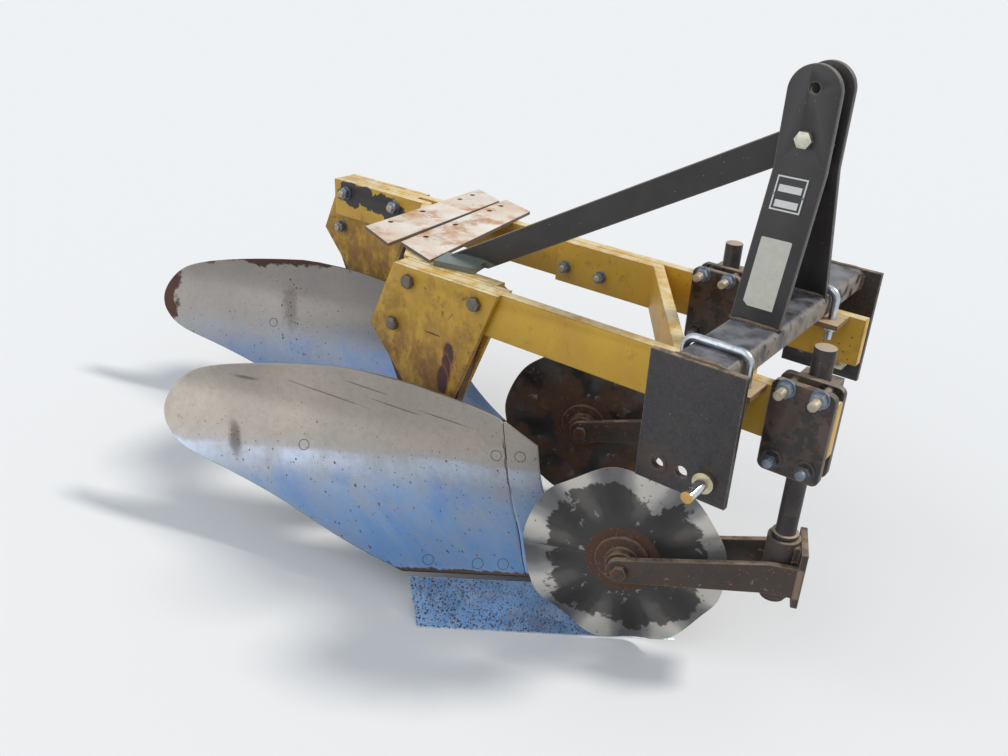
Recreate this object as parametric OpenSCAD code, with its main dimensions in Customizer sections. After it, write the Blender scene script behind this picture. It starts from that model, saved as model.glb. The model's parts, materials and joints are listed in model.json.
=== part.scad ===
// Two-bottom mounted moldboard plough with a rolling coulter ahead of each bottom.
// Millimetres. X points forward along the tow line, Y to the left, Z up from the ground.

/* [Hitch] */
// Height of the crossbar's top above the ground
hitch_top_z = 702; // [650:1:760]
// Distance between the outer faces of the two hitch plates
hitch_span = 683; // [600:1:830]
// Width of a hitch plate along the tow line
hitch_plate_w = 177.8; // [140:0.1:220]
// Height of a hitch plate
hitch_plate_h = 254; // [200:1:320]
// Thickness of a hitch plate
hitch_plate_t = 12.7; // [8:0.1:20]
// Depth of the pin holes below the plate's top
pin_drop = 213; // [170:1:235]
// Spacing of the three pin holes
pin_pitch = 46; // [42:0.5:60]
// Diameter of a pin hole
pin_hole_d = 23; // [22:0.1:26]
// Diameter of the lower link pin's journal
pin_d = 22.2; // [20:0.1:28.4]
// Length of the journal outside the plate
pin_len = 58; // [44:1:90]
// Width of the crossbar along the tow line
crossbar_w = 101.6; // [76:0.1:130]
// Height of the crossbar
crossbar_h = 50.8; // [40:0.1:76]
// Wall of the crossbar's tube
crossbar_wall = 6.4; // [4:0.1:10]

/* [Mast] */
// Height of the top link hole above the lower link pins
mast_rise = 622; // [560:1:680]
// Diameter of the top link hole
top_link_d = 19.6; // [19.3:0.1:26]
// Clear gap between the mast plates at the top
mast_gap = 50.8; // [44:0.1:60]
// Width of a mast plate
mast_w = 96; // [80:1:120]
// Thickness of a mast plate
mast_t = 12.7; // [8:0.1:16]
// Distance from the centre line to the outside of a mast foot
mast_foot_y = 122; // [90:1:160]
// Height of the bend above the crossbar
mast_bend_rise = 268; // [180:1:320]
// Drop from the top link hole to the mast bolt
mast_bolt_drop = 86; // [60:1:140]
// Width of the flat mast brace
brace_w = 57; // [40:1:80]
// Thickness of the mast brace
brace_t = 12.7; // [8:0.1:16]

/* [Beams] */
// Thickness of a beam bar
beam_t = 25.4; // [20:0.1:32]
// Height of a beam bar
beam_h = 101.6; // [80:0.1:130]
// Side position of the right beam's outer face
beam_right_y = -232; // [-260:1:-200]
// Forward end of the right beam
beam_front_x = 208; // [180:1:260]
// Forward end of the left beam
beam_left_front_x = 118; // [90:1:180]
// Rear end of the right beam
beam_rear_x = -786; // [-840:1:-720]
// Lateral spacing of the two bottoms
bottom_spacing = 406.4; // [355:0.1:460]
// Distance between the two bottoms along the tow line
bottom_stagger = 591; // [540:1:660]

/* [Cross bars] */
// Rear end of the front tie's leg on the left beam
tie_a_rear_x = -618; // [-660:1:-560]
// Bend of the front tie at the left beam
tie_a_bend_x = -356; // [-400:1:-320]
// Bend of the front tie at the right beam
tie_c_bend_x = -112; // [-150:1:-80]
// Front end of the front tie's leg on the right beam
tie_c_front_x = 44; // [10:1:50]
// Offset from the front tie back to the rear tie's bend at the left beam
tie_rear_shift = 690; // [640:1:720]
// Front end of the rear tie's leg on the right beam
rear_tie_front_x = -534; // [-560:1:-500]

/* [Bottoms] */
// Thickness of a standard plate
standard_t = 12.7; // [8:0.1:16]
// Side position of the landside plane for the right bottom
land_y = -203; // [-212:1:-196]
// Angle of the share's cutting edge from the tow line
share_angle = 36.7; // [34:0.1:42]
// Length of the share's cutting edge
share_len = 547; // [480:1:600]
// Tilt of the share above the ground
share_tilt = 32; // [26:0.5:38]
// Width of the share up its slope
share_w = 112; // [100:1:130]
// Thickness of the share
share_t = 9.5; // [6:0.1:12]
// Forward position of the right share's point
point_x = -12; // [-40:1:20]
// Thickness of the moldboard and shin
board_t = 6.4; // [5:0.1:9]
// Height of the moldboard's top edge
board_top_z = 421; // [400:1:440]
// Length of the landside
landside_len = 640; // [500:1:700]
// Height of the landside bar
landside_h = 101.6; // [80:0.1:120]
// Thickness of the landside bar
landside_t = 12.7; // [10:0.1:16]

/* [Coulters] */
// Diameter of a coulter disc
disc_d = 406.4; // [380:0.1:420]
// Thickness of a disc
disc_t = 5; // [4:0.1:8]
// Number of waves round a disc
disc_waves = 8; // [6:1:13]
// Height of a wave at the rim
wave_h = 11; // [6:0.5:14]
// Gap between a disc and the ground
disc_clear = 8; // [6:1:30]
// Diameter of a coulter shank
shank_d = 38.1; // [34:0.1:42]
// Forward position of the right coulter shank
shank_right_x = 152; // [140:1:165]
// Forward position of the left coulter shank
shank_left_x = -208; // [-230:1:-190]
// Height of the shank's top above the beam
shank_rise = 72; // [50:1:120]
// Trail from the shank to the disc's axle
coulter_trail = 294; // [270:1:310]
// Swing of the coulters as parked, towards the right
coulter_swing = 23; // [15:1:28]

/* [Hidden] */
eps = 0.2;
touch = 0.05;
box_centre = [-803, -92];
plate_in_y = hitch_span / 2 - hitch_plate_t;
beam_top_z = hitch_top_z - crossbar_h;
beam_low_z = beam_top_z - beam_h;
pin_z = hitch_top_z - pin_drop;
top_link_z = pin_z + mast_rise;
mast_bolt_z = top_link_z - mast_bolt_drop;
left_shift = [-bottom_stagger, bottom_spacing, 0];
beam_left_y = beam_right_y + bottom_spacing;

module in_frame() {
    translate([-box_centre.x, -box_centre.y, 0]) children();
}

module along_y(at, length, d, fn = 48) {
    translate(at) rotate([-90, 0, 0]) cylinder(d = d, h = length, $fn = fn);
}

// A flat plate standing in the X-Z plane, from its outline, between y0 and y0 + t
module side_plate(y0, t) {
    translate([0, y0 + t, 0]) rotate([90, 0, 0]) linear_extrude(t) children();
}

module hex_head(at, af, h, dir = 1) {
    translate(at) rotate([-90 * dir, 0, 0]) cylinder(d = af / cos(30), h = h, $fn = 6);
}

// ---- hitch ----
module crossbar() {
    corner_r = 13;
    length = 2 * plate_in_y;
    in_frame() color([0.10, 0.10, 0.11])
        translate([0, plate_in_y, hitch_top_z - crossbar_h / 2]) rotate([90, 0, 0]) linear_extrude(length)
            difference() {
                rounded_box(crossbar_w, crossbar_h, corner_r);
                rounded_box(crossbar_w - 2 * crossbar_wall, crossbar_h - 2 * crossbar_wall,
                    corner_r - crossbar_wall);
            }
}

module rounded_box(w, h, r) {
    square([w - 2 * r, h], center = true);
    square([w, h - 2 * r], center = true);
    for (sx = [-1, 1], sy = [-1, 1])
        translate([sx * (w / 2 - r), sy * (h / 2 - r)]) circle(r = r, $fn = 32);
}

module hitch_plate(side) {
    y0 = side > 0 ? plate_in_y : -plate_in_y - hitch_plate_t;
    ring_d = pin_hole_d + 12;
    ring_h = 3;
    in_frame() color([0.10, 0.10, 0.11]) difference() {
        union() {
            translate([-hitch_plate_w / 2, y0, hitch_top_z - hitch_plate_h])
                cube([hitch_plate_w, hitch_plate_t, hitch_plate_h]);
            along_y([-pin_pitch, side > 0 ? y0 : y0 - ring_h, pin_z], hitch_plate_t + ring_h, ring_d);
        }
        for (i = [-1:1])
            along_y([i * pin_pitch, y0 - 10, pin_z], hitch_plate_t + 20, pin_hole_d);
    }
}
module hitch_plate_right() { hitch_plate(-1); }
module hitch_plate_left() { hitch_plate(1); }

// A stud with a flange outside the plate and a nut inside it
module hitch_pin(side) {
    flange_d = 40;
    flange_t = 9;
    nut_af = 34;
    nut_t = 19;
    lynch_d = 11.5;
    y_out = hitch_span / 2;
    mirror_y = side > 0 ? 0 : 1;
    in_frame() color([0.72, 0.62, 0.30]) mirror([0, mirror_y, 0]) translate([pin_pitch, 0, pin_z]) {
        difference() {
            union() {
                along_y([0, plate_in_y - nut_t - 6, 0], y_out - plate_in_y + nut_t + 6 + flange_t + pin_len,
                    pin_d, 64);
                along_y([0, y_out + touch, 0], flange_t, flange_d);
            }
            translate([0, y_out + flange_t + pin_len - 14, -pin_d]) cylinder(d = lynch_d, h = 2 * pin_d, $fn = 32);
        }
        hex_head([0, plate_in_y - nut_t - touch, 0], nut_af, nut_t);
    }
}
module hitch_pin_right() { hitch_pin(-1); }
module hitch_pin_left() { hitch_pin(1); }

// ---- mast ----
// Both plates stand upright at the top and splay out to their feet below the bend
module mast_plate(side) {
    bend_z = hitch_top_z + mast_bend_rise;
    top_out = mast_gap / 2 + mast_t;
    foot_z = hitch_top_z + touch;
    splay = atan2(mast_foot_y - top_out, mast_bend_rise);
    shift_t = mast_t / cos(splay);
    round_r = mast_w / 2;
    round_z = top_link_z + 40 - round_r;
    in_frame() color([0.10, 0.10, 0.11]) mirror([0, side > 0 ? 0 : 1, 0]) difference() {
        union() {
            translate([-mast_w / 2, mast_gap / 2, bend_z]) cube([mast_w, mast_t, round_z - bend_z]);
            along_y([0, mast_gap / 2, round_z], mast_t, mast_w, 96);
            translate([-mast_w / 2, 0, 0]) rotate([90, 0, 90]) linear_extrude(mast_w) polygon([
                [mast_foot_y, foot_z], [top_out, bend_z], [mast_gap / 2, bend_z],
                [mast_foot_y - shift_t, foot_z]]);
        }
        along_y([0, 0, top_link_z], 3 * top_out, top_link_d, 64);
        along_y([0, 0, mast_bolt_z], 3 * top_out, 19.3);
    }
}
module mast_plate_right() { mast_plate(-1); }
module mast_plate_left() { mast_plate(1); }

module mast_bolt() {
    head_t = 12;
    top_out = mast_gap / 2 + mast_t;
    in_frame() color([0.62, 0.62, 0.60]) {
        along_y([0, -top_out - touch, mast_bolt_z], 2 * top_out + 26, 19);
        hex_head([0, -top_out - head_t - touch, mast_bolt_z], 28.6, head_t + touch);
        hex_head([0, top_out + touch, mast_bolt_z], 28.6, 16);
    }
}

// A flat bar on edge from the mast bolt down to the right beam, with its foot turned out flat
module mast_brace() {
    foot_x = -671;
    foot_y = -133;
    foot_out = 56;
    foot_z = beam_top_z + touch;
    run = -foot_x;
    rise = mast_bolt_z - foot_z;
    plan = atan2(-foot_y, run);
    length = sqrt(run * run + foot_y * foot_y);
    pitch = atan2(rise, length);
    half = brace_w / 2;
    foot_run = 100;
    in_frame() color([0.10, 0.10, 0.11]) difference() {
        union() {
            difference() {
                translate([0, 0, mast_bolt_z]) rotate([0, 0, plan]) rotate([0, -pitch, 0])
                    translate([-length / cos(pitch) - 200, -brace_t / 2, -half])
                        cube([length / cos(pitch) + 200 + half, brace_t, brace_w]);
                translate([foot_x - 700, -600, foot_z - 500]) cube([1400, 1200, 500]);
                translate([foot_x - foot_run / 2 - 500, -600, foot_z - 1]) cube([500, 1200, 100]);
            }
            translate([foot_x, foot_y, foot_z]) rotate([0, 0, plan])
                translate([-foot_run / 2, -foot_out, 0]) cube([foot_run, foot_out + brace_t / 2, brace_t]);
        }
        along_y([0, -100, mast_bolt_z], 200, 19.3);
    }
}

// ---- beams ----
module beam_bar(x0, x1, y0) {
    translate([x0, y0, beam_low_z]) cube([x1 - x0, beam_t, beam_h]);
}
bolt_d = 19.3;
bolt_z = beam_top_z - 31;
standard_bolts = [[-739, bolt_z], [-552, bolt_z], [-786, 508]];
clamp_bolt_dx = 29.5;
clamp_bolt_z = [beam_top_z + 10, beam_low_z - 26];

module beam_right() {
    in_frame() color([0.83, 0.62, 0.12]) difference() {
        beam_bar(beam_rear_x, beam_front_x, beam_right_y);
        for (i = [0, 1]) along_y([standard_bolts[i].x, beam_right_y - 10, standard_bolts[i].y], 60, bolt_d);
    }
}
module beam_left() {
    in_frame() color([0.83, 0.62, 0.12]) difference() {
        beam_bar(beam_rear_x - bottom_stagger, beam_left_front_x, beam_left_y);
        for (i = [0, 1]) along_y([standard_bolts[i].x - bottom_stagger, beam_left_y - 10,
            standard_bolts[i].y], 60, bolt_d);
    }
}

// A bar bent twice: along the left beam, across at a slant, then along the right beam
module tie_bar(rear_x, bend_l, bend_r, front_x, y_left, y_right) {
    across = [bend_r - bend_l, y_right - y_left];
    slant = atan2(-across.y, across.x);
    cut = beam_t * tan(slant / 2);
    translate([0, 0, beam_low_z]) linear_extrude(beam_h) polygon([
        [rear_x, y_left + beam_t], [bend_l + cut, y_left + beam_t],
        [bend_r + cut, y_right + beam_t], [front_x, y_right + beam_t],
        [front_x, y_right], [bend_r, y_right],
        [bend_l, y_left], [rear_x, y_left]]);
}
module front_tie() {
    in_frame() color([0.83, 0.62, 0.12])
        tie_bar(tie_a_rear_x, tie_a_bend_x, tie_c_bend_x, tie_c_front_x,
            beam_left_y - beam_t - touch, beam_right_y + beam_t + touch);
}
module rear_tie() {
    in_frame() color([0.83, 0.62, 0.12]) difference() {
        tie_bar(beam_rear_x - bottom_stagger, tie_a_bend_x - tie_rear_shift, tie_c_bend_x - tie_rear_shift,
            rear_tie_front_x, beam_left_y - beam_t - standard_t - 2 * touch,
            beam_right_y + beam_t + standard_t + 2 * touch);
        for (i = [0, 1]) {
            along_y([standard_bolts[i].x - bottom_stagger, beam_left_y - 70, standard_bolts[i].y], 60, bolt_d);
            along_y([standard_bolts[i].x, beam_right_y + 30, standard_bolts[i].y], 60, bolt_d);
        }
    }
}

// ---- crossbar clamps ----
strap_w = 70;
strap_t = 10;
u_rod_d = 15.9;
u_leg_x = crossbar_w / 2 + u_rod_d / 2 + 2;
module strap_plate(beam_y) {
    in_frame() color([0.80, 0.66, 0.40]) difference() {
        translate([-u_leg_x - 24, beam_y - strap_w - touch, beam_top_z - strap_t - touch])
            cube([2 * u_leg_x + 48, strap_w, strap_t]);
        for (sx = [-1, 1]) translate([sx * u_leg_x, beam_y - strap_w / 2, beam_top_z - 40])
            cylinder(d = u_rod_d + 0.6, h = 60, $fn = 48);
    }
}
module strap_plate_right() { strap_plate(beam_right_y); }
module strap_plate_left() { strap_plate(beam_left_y); }

module u_bolt(beam_y) {
    bend_r = 20;
    y0 = beam_y - strap_w / 2;
    top_z = hitch_top_z + u_rod_d / 2 + touch;
    leg_low = beam_top_z - strap_t - 34;
    leg_len = top_z - bend_r - leg_low;
    in_frame() color([0.45, 0.46, 0.47]) translate([0, y0, 0]) {
        for (sx = [-1, 1]) {
            translate([sx * u_leg_x, 0, leg_low]) cylinder(d = u_rod_d, h = leg_len, $fn = 32);
            translate([sx * u_leg_x, 0, beam_top_z - strap_t - 14 - 2 * touch])
                cylinder(d = 25.4 / cos(30), h = 14, $fn = 6);
            translate([sx * (u_leg_x - bend_r), 0, top_z - bend_r]) rotate([90, 0, 0])
                rotate([0, 0, sx > 0 ? 0 : 90]) rotate_extrude(angle = 90, $fn = 64)
                    translate([bend_r, 0]) circle(d = u_rod_d, $fn = 32);
        }
        translate([-u_leg_x + bend_r, 0, top_z]) rotate([0, 90, 0])
            cylinder(d = u_rod_d, h = 2 * (u_leg_x - bend_r), $fn = 32);
    }
}
module u_bolt_right() { u_bolt(beam_right_y); }
module u_bolt_left() { u_bolt(beam_left_y); }

// ---- standards and frogs ----
standard_low_z = 302;
standard_outline = [[beam_rear_x, beam_top_z], [-494, beam_top_z], [-638, standard_low_z],
    [-700, standard_low_z], [-860, 489]];
module standard_plates() {
    for (y0 = [beam_right_y - standard_t - touch, beam_right_y + beam_t + touch])
        difference() {
            side_plate(y0, standard_t) polygon(standard_outline);
            for (b = standard_bolts) along_y([b.x, y0 - 5, b.y], standard_t + 10, bolt_d);
        }
}
module standard_plates_right() { in_frame() color([0.83, 0.62, 0.12]) standard_plates(); }
module standard_plates_left() { in_frame() color([0.83, 0.62, 0.12]) translate(left_shift) standard_plates(); }

// The leg between the standard plates, with the bed under the share and the rib behind the board
module frog() {
    bed_run = 250;
    difference() {
        union() {
            side_plate(beam_right_y, beam_t) polygon([
                [-822, beam_low_z - 3], [-552, beam_low_z - 3], [-640, 250], [-470, 112], [-310, 80],
                [-238, 50], [-150, 20], [-150, 8], [-690, 38], [-700, 150], [-760, 300], [-842, 478]]);
            share_frame() translate([0, 0, -share_t - 14 - touch])
                translate([150, share_w - 70, 0]) cube([bed_run, 62, 14]);
        }
        translate([-1000, land_y - landside_t - touch, -1]) cube([1000, 100, landside_h + 8 + 1]);
        for (b = standard_bolts) along_y([b.x, beam_right_y - 5, b.y], 60, bolt_d);
    }
}
module frog_right() { in_frame() color([0.20, 0.16, 0.13]) frog(); }
module frog_left() { in_frame() color([0.20, 0.16, 0.13]) translate(left_shift) frog(); }

// Share frame: origin at the point, X back along the cutting edge, Y up the share's slope
module share_frame() {
    translate([point_x, land_y, 0]) rotate([0, 0, 180 + share_angle]) mirror([0, 1, 0])
        rotate([share_tilt, 0, 0]) children();
}
module share_blade() {
    land_run = share_w * cos(share_tilt) / tan(share_angle);
    wing_back = 28;
    share_frame() translate([0, 0, -share_t]) linear_extrude(share_t)
        polygon([[0, 0], [share_len, 0], [share_len + wing_back, share_w], [land_run, share_w]]);
}
module share() {
    difference() {
        share_blade();
        translate([-1500, -1500, -100]) cube([2000, 3000, 100]);
    }
}
module share_right() { in_frame() color([0.42, 0.43, 0.47]) share(); }
module share_left() { in_frame() color([0.42, 0.43, 0.47]) translate(left_shift) share(); }

// ---- moldboard ----
// Shin edge in the landside plane: columns are height and forward position
shin_edge = [[60, -176], [90, -238], [120, -287], [150, -326], [182, -356], [215, -375],
    [250, -386], [316, -398], [370, -404], [430, -408]];
// Run of the seam and of the board's tail back from the shin edge: columns are height, seam, tail
board_runs = [[66, 180, 448], [98, 141, 538], [122, 117, 594], [146, 100, 655], [170, 89, 738],
    [198, 80, 851], [225, 76, 893], [255, 74, 908], [285, 74, 905], [316, 75, 884], [346, 77, 845],
    [364, 82, 800], [382, 140, 727], [401, 225, 620], [414, 300, 520], [421, 400, 452]];
board_angle = [[62, 37], [120, 32.5], [200, 27], [260, 24.4], [320, 22], [430, 21]];

function span(x, t, i = 0) = i >= len(t) - 2 || x < t[i + 1][0] ? i : span(x, t, i + 1);
// Smooth curve through a table's rows, for the given column
function smooth(x, t, c) =
    let (i = span(x, t), a = t[i], b = t[i + 1], h = b[0] - a[0], u = (x - a[0]) / h,
        p = i > 0 ? t[i - 1] : a, q = i < len(t) - 2 ? t[i + 2] : b,
        ma = (b[c] - p[c]) / (b[0] - p[0]) * h, mb = (q[c] - a[c]) / (q[0] - a[0]) * h)
    (2 * u * u * u - 3 * u * u + 1) * a[c] + (u * u * u - 2 * u * u + u) * ma
        + (-2 * u * u * u + 3 * u * u) * b[c] + (u * u * u - u * u) * mb;
function board_point(s, z) =
    let (g = smooth(z, board_angle, 1))
    [smooth(z, shin_edge, 1) - s * cos(g), land_y - s * sin(g), z];
// Unit normal pointing to the board's back
function board_normal(s, z) =
    let (a = board_point(s, z - 1), b = board_point(s, z + 1), g = smooth(z, board_angle, 1),
        n = cross([-cos(g), -sin(g), 0], b - a))
    n / norm(n);

// A curved plate over the surface, between two runs at each height
module surface_plate(rows, runs, cols = 18) {
    n = cols + 1;
    front = [for (i = [0:len(rows) - 1], j = [0:cols])
        board_point(runs[i][0] + (runs[i][1] - runs[i][0]) * j / cols, rows[i])];
    back = [for (i = [0:len(rows) - 1], j = [0:cols])
        let (s = runs[i][0] + (runs[i][1] - runs[i][0]) * j / cols)
        board_point(s, rows[i]) + board_t * board_normal(s, rows[i])];
    m = len(front);
    top = len(rows) - 1;
    polyhedron(concat(front, back), concat(
        [for (i = [0:top - 1], j = [0:cols - 1]) [i * n + j, i * n + j + 1, (i + 1) * n + j + 1, (i + 1) * n + j]],
        [for (i = [0:top - 1], j = [0:cols - 1])
            [m + i * n + j, m + (i + 1) * n + j, m + (i + 1) * n + j + 1, m + i * n + j + 1]],
        [for (j = [0:cols - 1]) [j, m + j, m + j + 1, j + 1]],
        [for (j = [0:cols - 1]) [top * n + j, top * n + j + 1, m + top * n + j + 1, m + top * n + j]],
        [for (i = [0:top - 1]) [i * n, (i + 1) * n, m + (i + 1) * n, m + i * n]],
        [for (i = [0:top - 1]) [i * n + cols, m + i * n + cols, m + (i + 1) * n + cols, (i + 1) * n + cols]]));
}
module moldboard() {
    rows = [for (i = [0:24]) 66 + (board_top_z - 66) * (1 - pow(1 - i / 24, 1.25))];
    surface_plate(rows, [for (z = rows) [smooth(z, board_runs, 1), smooth(z, board_runs, 2)]], 18);
}
module shin() {
    seam_gap = 2;
    rows = concat([for (i = [0:12]) 66 + 251 * i / 12], [for (i = [1:5]) 317 + 42 * i / 5]);
    surface_plate(rows, [for (z = rows)
        [z <= 317 ? 0 : 76 * (z - 317) / 47, smooth(z, board_runs, 1) - seam_gap]], 6);
}
module moldboard_right() { in_frame() color([0.62, 0.64, 0.68]) moldboard(); }
module moldboard_left() { in_frame() color([0.62, 0.64, 0.68]) translate(left_shift) moldboard(); }
module shin_right() { in_frame() color([0.55, 0.57, 0.62]) shin(); }
module shin_left() { in_frame() color([0.55, 0.57, 0.62]) translate(left_shift) shin(); }

// ---- landsides ----
module landside() {
    x0 = point_x - 205 - landside_len;
    heel_len = 90;
    side_plate(land_y - landside_t, landside_t) polygon([
        [x0, 0], [point_x - 138, 0], [point_x - 138, 30], [point_x - 200, 54], [point_x - 222, 64],
        [point_x - 280, landside_h], [x0, landside_h]]);
    translate([x0, land_y, 0]) cube([heel_len, 9, 64]);
}
module landside_right() { in_frame() color([0.35, 0.30, 0.27]) landside(); }
module landside_left() { in_frame() color([0.35, 0.30, 0.27]) translate(left_shift) landside(); }

// A strut from the landside's rear to a foot behind the board's wing
wing_bolt = [557, 234];
module board_brace() {
    foot_t = 8;
    start = [point_x - 794, land_y - landside_t - 9.5 - touch, 62];
    n = board_normal(wing_bolt.x, wing_bolt.y);
    seat = board_point(wing_bolt.x, wing_bolt.y) + (board_t + 0.6) * n;
    end = seat + foot_t * n;
    d = end - start;
    translate(start) rotate([0, atan2(norm([d.x, d.y]), d.z), atan2(d.y, d.x)])
        cylinder(d = 19, h = norm(d), $fn = 32);
    translate(seat) rotate([0, atan2(norm([n.x, n.y]), n.z), atan2(n.y, n.x)])
        cylinder(d = 38, h = 2 * foot_t, $fn = 48);
    translate(start - [0, 0, 14]) cylinder(d = 19, h = 28, $fn = 32);
}
module board_brace_right() { in_frame() color([0.35, 0.30, 0.27]) board_brace(); }
module board_brace_left() { in_frame() color([0.35, 0.30, 0.27]) translate(left_shift) board_brace(); }

// ---- spare shares ----
spare_w = 124;
spare_t = 8;
// Forward and side place of the rear corner nearest the camera, and the turn about it
spares = [[-993, -124, 2.2], [-853, -148, 5.6]];
// Places of the four bolt holes along a spare share
spare_holes = [66, 187, 341, 396];
module spare_shares() {
    in_frame() color([0.62, 0.50, 0.40])
        for (s = spares) translate([s.x, s.y, beam_top_z + touch]) rotate([0, 0, s[2]]) difference() {
            linear_extrude(spare_t) polygon([[0, 0], [spare_w, -58], [spare_w - 18, 404], [0, 456]]);
            for (y = spare_holes) translate([22, y, -1]) cylinder(d = 14, h = spare_t + 2, $fn = 32);
        }
}

// ---- coulters ----
axle_z = disc_d / 2 + wave_h * 0 + disc_clear;
yoke_gap = 34;
arm_t = 12.7;
arm_h = 46;
boss_d = 62;
boss_z0 = 206;
boss_z1 = 336;
collar_h = 9;
seat_gap = 0.3;
shank_y_off = beam_t + standard_t + shank_d / 2 + 2 * touch;

module clamp_plate(x, y0) {
    w = 112;
    z0 = beam_low_z - 52;
    h = beam_h + 52 + 22;
    r = 14;
    difference() {
        side_plate(y0, standard_t) translate([x, z0 + h / 2]) rounded_box(w, h, r);
        for (sx = [-1, 1], z = clamp_bolt_z) along_y([x + sx * clamp_bolt_dx, y0 - 5, z], standard_t + 10, 16.6);
    }
}
module coulter_clamp(x, beam_y) {
    in_frame() color([0.28, 0.20, 0.16]) {
        clamp_plate(x, beam_y - standard_t - touch);
        difference() {
            union() {
                clamp_plate(x, beam_y + beam_t + touch);
                translate([x - 34, beam_y + beam_t + standard_t, beam_low_z - 30])
                    cube([68, shank_d + 10, beam_h + 44]);
            }
            translate([x, beam_y + shank_y_off, 0]) cylinder(d = shank_d + 0.1, h = 1200, $fn = 64);
        }
        for (sx = [-1, 1], z = clamp_bolt_z) {
            along_y([x + sx * clamp_bolt_dx, beam_y - standard_t - 26, z], beam_t + 2 * standard_t + 30, 15.9);
            hex_head([x + sx * clamp_bolt_dx, beam_y - standard_t - 13 - touch, z], 23.8, 13);
        }
    }
}
module coulter_clamp_right() { coulter_clamp(shank_right_x, beam_right_y); }
module coulter_clamp_left() { coulter_clamp(shank_left_x, beam_left_y); }

module coulter_shank(x, beam_y) {
    in_frame() color([0.12, 0.10, 0.10]) translate([x, beam_y + shank_y_off, 0]) {
        translate([0, 0, boss_z0 - collar_h - seat_gap])
            cylinder(d = shank_d, h = beam_top_z + shank_rise - boss_z0 + collar_h + seat_gap, $fn = 64);
        for (z = [boss_z1 + seat_gap, boss_z0 - seat_gap - collar_h])
            translate([0, 0, z]) cylinder(d = shank_d + 12, h = collar_h, $fn = 48);
    }
}
module coulter_shank_right() { coulter_shank(shank_right_x, beam_right_y); }
module coulter_shank_left() { coulter_shank(shank_left_x, beam_left_y); }

// Coulter frame: origin on the shank's axis at ground level, X back along the trail
module coulter_frame(x, beam_y) {
    in_frame() translate([x, beam_y + shank_y_off, 0]) rotate([0, 0, 180 + coulter_swing]) children();
}
module coulter_yoke(x, beam_y) {
    arm_z = 262;
    drop = arm_z - axle_z;
    coulter_frame(x, beam_y) color([0.24, 0.17, 0.14]) difference() {
        union() {
            translate([0, 0, boss_z0]) cylinder(d = boss_d, h = boss_z1 - boss_z0, $fn = 64);
            translate([-44, -yoke_gap - arm_t, arm_z - arm_h / 2 - 12])
                cube([arm_t, 2 * (yoke_gap + arm_t), arm_h + 24]);
            translate([-44, -16, boss_z0 + 20]) cube([30, 32, 90]);
            for (y0 = [-yoke_gap - arm_t, yoke_gap]) {
                translate([-44, y0, arm_z - arm_h / 2]) cube([84, arm_t, arm_h]);
                side_plate(y0, arm_t) polygon([[40, arm_z - arm_h / 2], [coulter_trail, axle_z - 20],
                    [coulter_trail, axle_z + 20], [40, arm_z + arm_h / 2]]);
                along_y([coulter_trail, y0, axle_z], arm_t, 40);
            }
        }
        translate([0, 0, boss_z0 - 5]) cylinder(d = shank_d + 0.16, h = 200, $fn = 64);
        along_y([coulter_trail, -80, axle_z], 160, 19.3);
    }
}
module coulter_yoke_right() { coulter_yoke(shank_right_x, beam_right_y); }
module coulter_yoke_left() { coulter_yoke(shank_left_x, beam_left_y); }

module coulter_axle(x, beam_y) {
    out = yoke_gap + arm_t;
    coulter_frame(x, beam_y) color([0.45, 0.38, 0.32]) translate([coulter_trail, 0, axle_z]) {
        along_y([0, -out - 14, 0], 2 * out + 24, 19);
        hex_head([0, out + touch, 0], 28.6, 10);
        hex_head([0, -out - 13 - touch, 0], 28.6, 13);
    }
}
module coulter_axle_right() { coulter_axle(shank_right_x, beam_right_y); }
module coulter_axle_left() { coulter_axle(shank_left_x, beam_left_y); }

// A disc with waves growing from its flat middle to its rim
function wave_at(r, a) = wave_h * pow(max(0, (r - 78) / (disc_d / 2 - 78)), 1.2) * sin(disc_waves * a) / 2;
module wavy_disc() {
    steps = disc_waves * 10;
    rings = [24, 78, 110, 145, 180, disc_d / 2];
    k = len(rings);
    points = [for (sgn = [-1, 1], r = rings, i = [0:steps - 1]) let (a = 360 * i / steps)
        [r * cos(a), wave_at(r, a) + sgn * (r > 190 ? 1.4 : disc_t / 2), r * sin(a)]];
    m = k * steps;
    polyhedron(points, concat(
        [for (j = [0:k - 2], i = [0:steps - 1]) let (p = (i + 1) % steps)
            [j * steps + i, j * steps + p, (j + 1) * steps + p, (j + 1) * steps + i]],
        [for (j = [0:k - 2], i = [0:steps - 1]) let (p = (i + 1) % steps)
            [m + j * steps + i, m + (j + 1) * steps + i, m + (j + 1) * steps + p, m + j * steps + p]],
        [for (i = [0:steps - 1]) let (p = (i + 1) % steps)
            [(k - 1) * steps + i, (k - 1) * steps + p, m + (k - 1) * steps + p, m + (k - 1) * steps + i]],
        [for (i = [0:steps - 1]) let (p = (i + 1) % steps) [i, m + i, m + p, p]]));
}
module coulter_disc(x, beam_y) {
    hub_w = 2 * yoke_gap - 10;
    coulter_frame(x, beam_y) color([0.33, 0.33, 0.35]) translate([coulter_trail, 0, axle_z]) {
        wavy_disc();
        difference() {
            union() {
                along_y([0, -hub_w / 2, 0], hub_w, 62);
                along_y([0, -9, 0], 18, 110);
            }
            along_y([0, -50, 0], 100, 19.16, 64);
        }
    }
}
module coulter_disc_right() { coulter_disc(shank_right_x, beam_right_y); }
module coulter_disc_left() { coulter_disc(shank_left_x, beam_left_y); }

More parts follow.
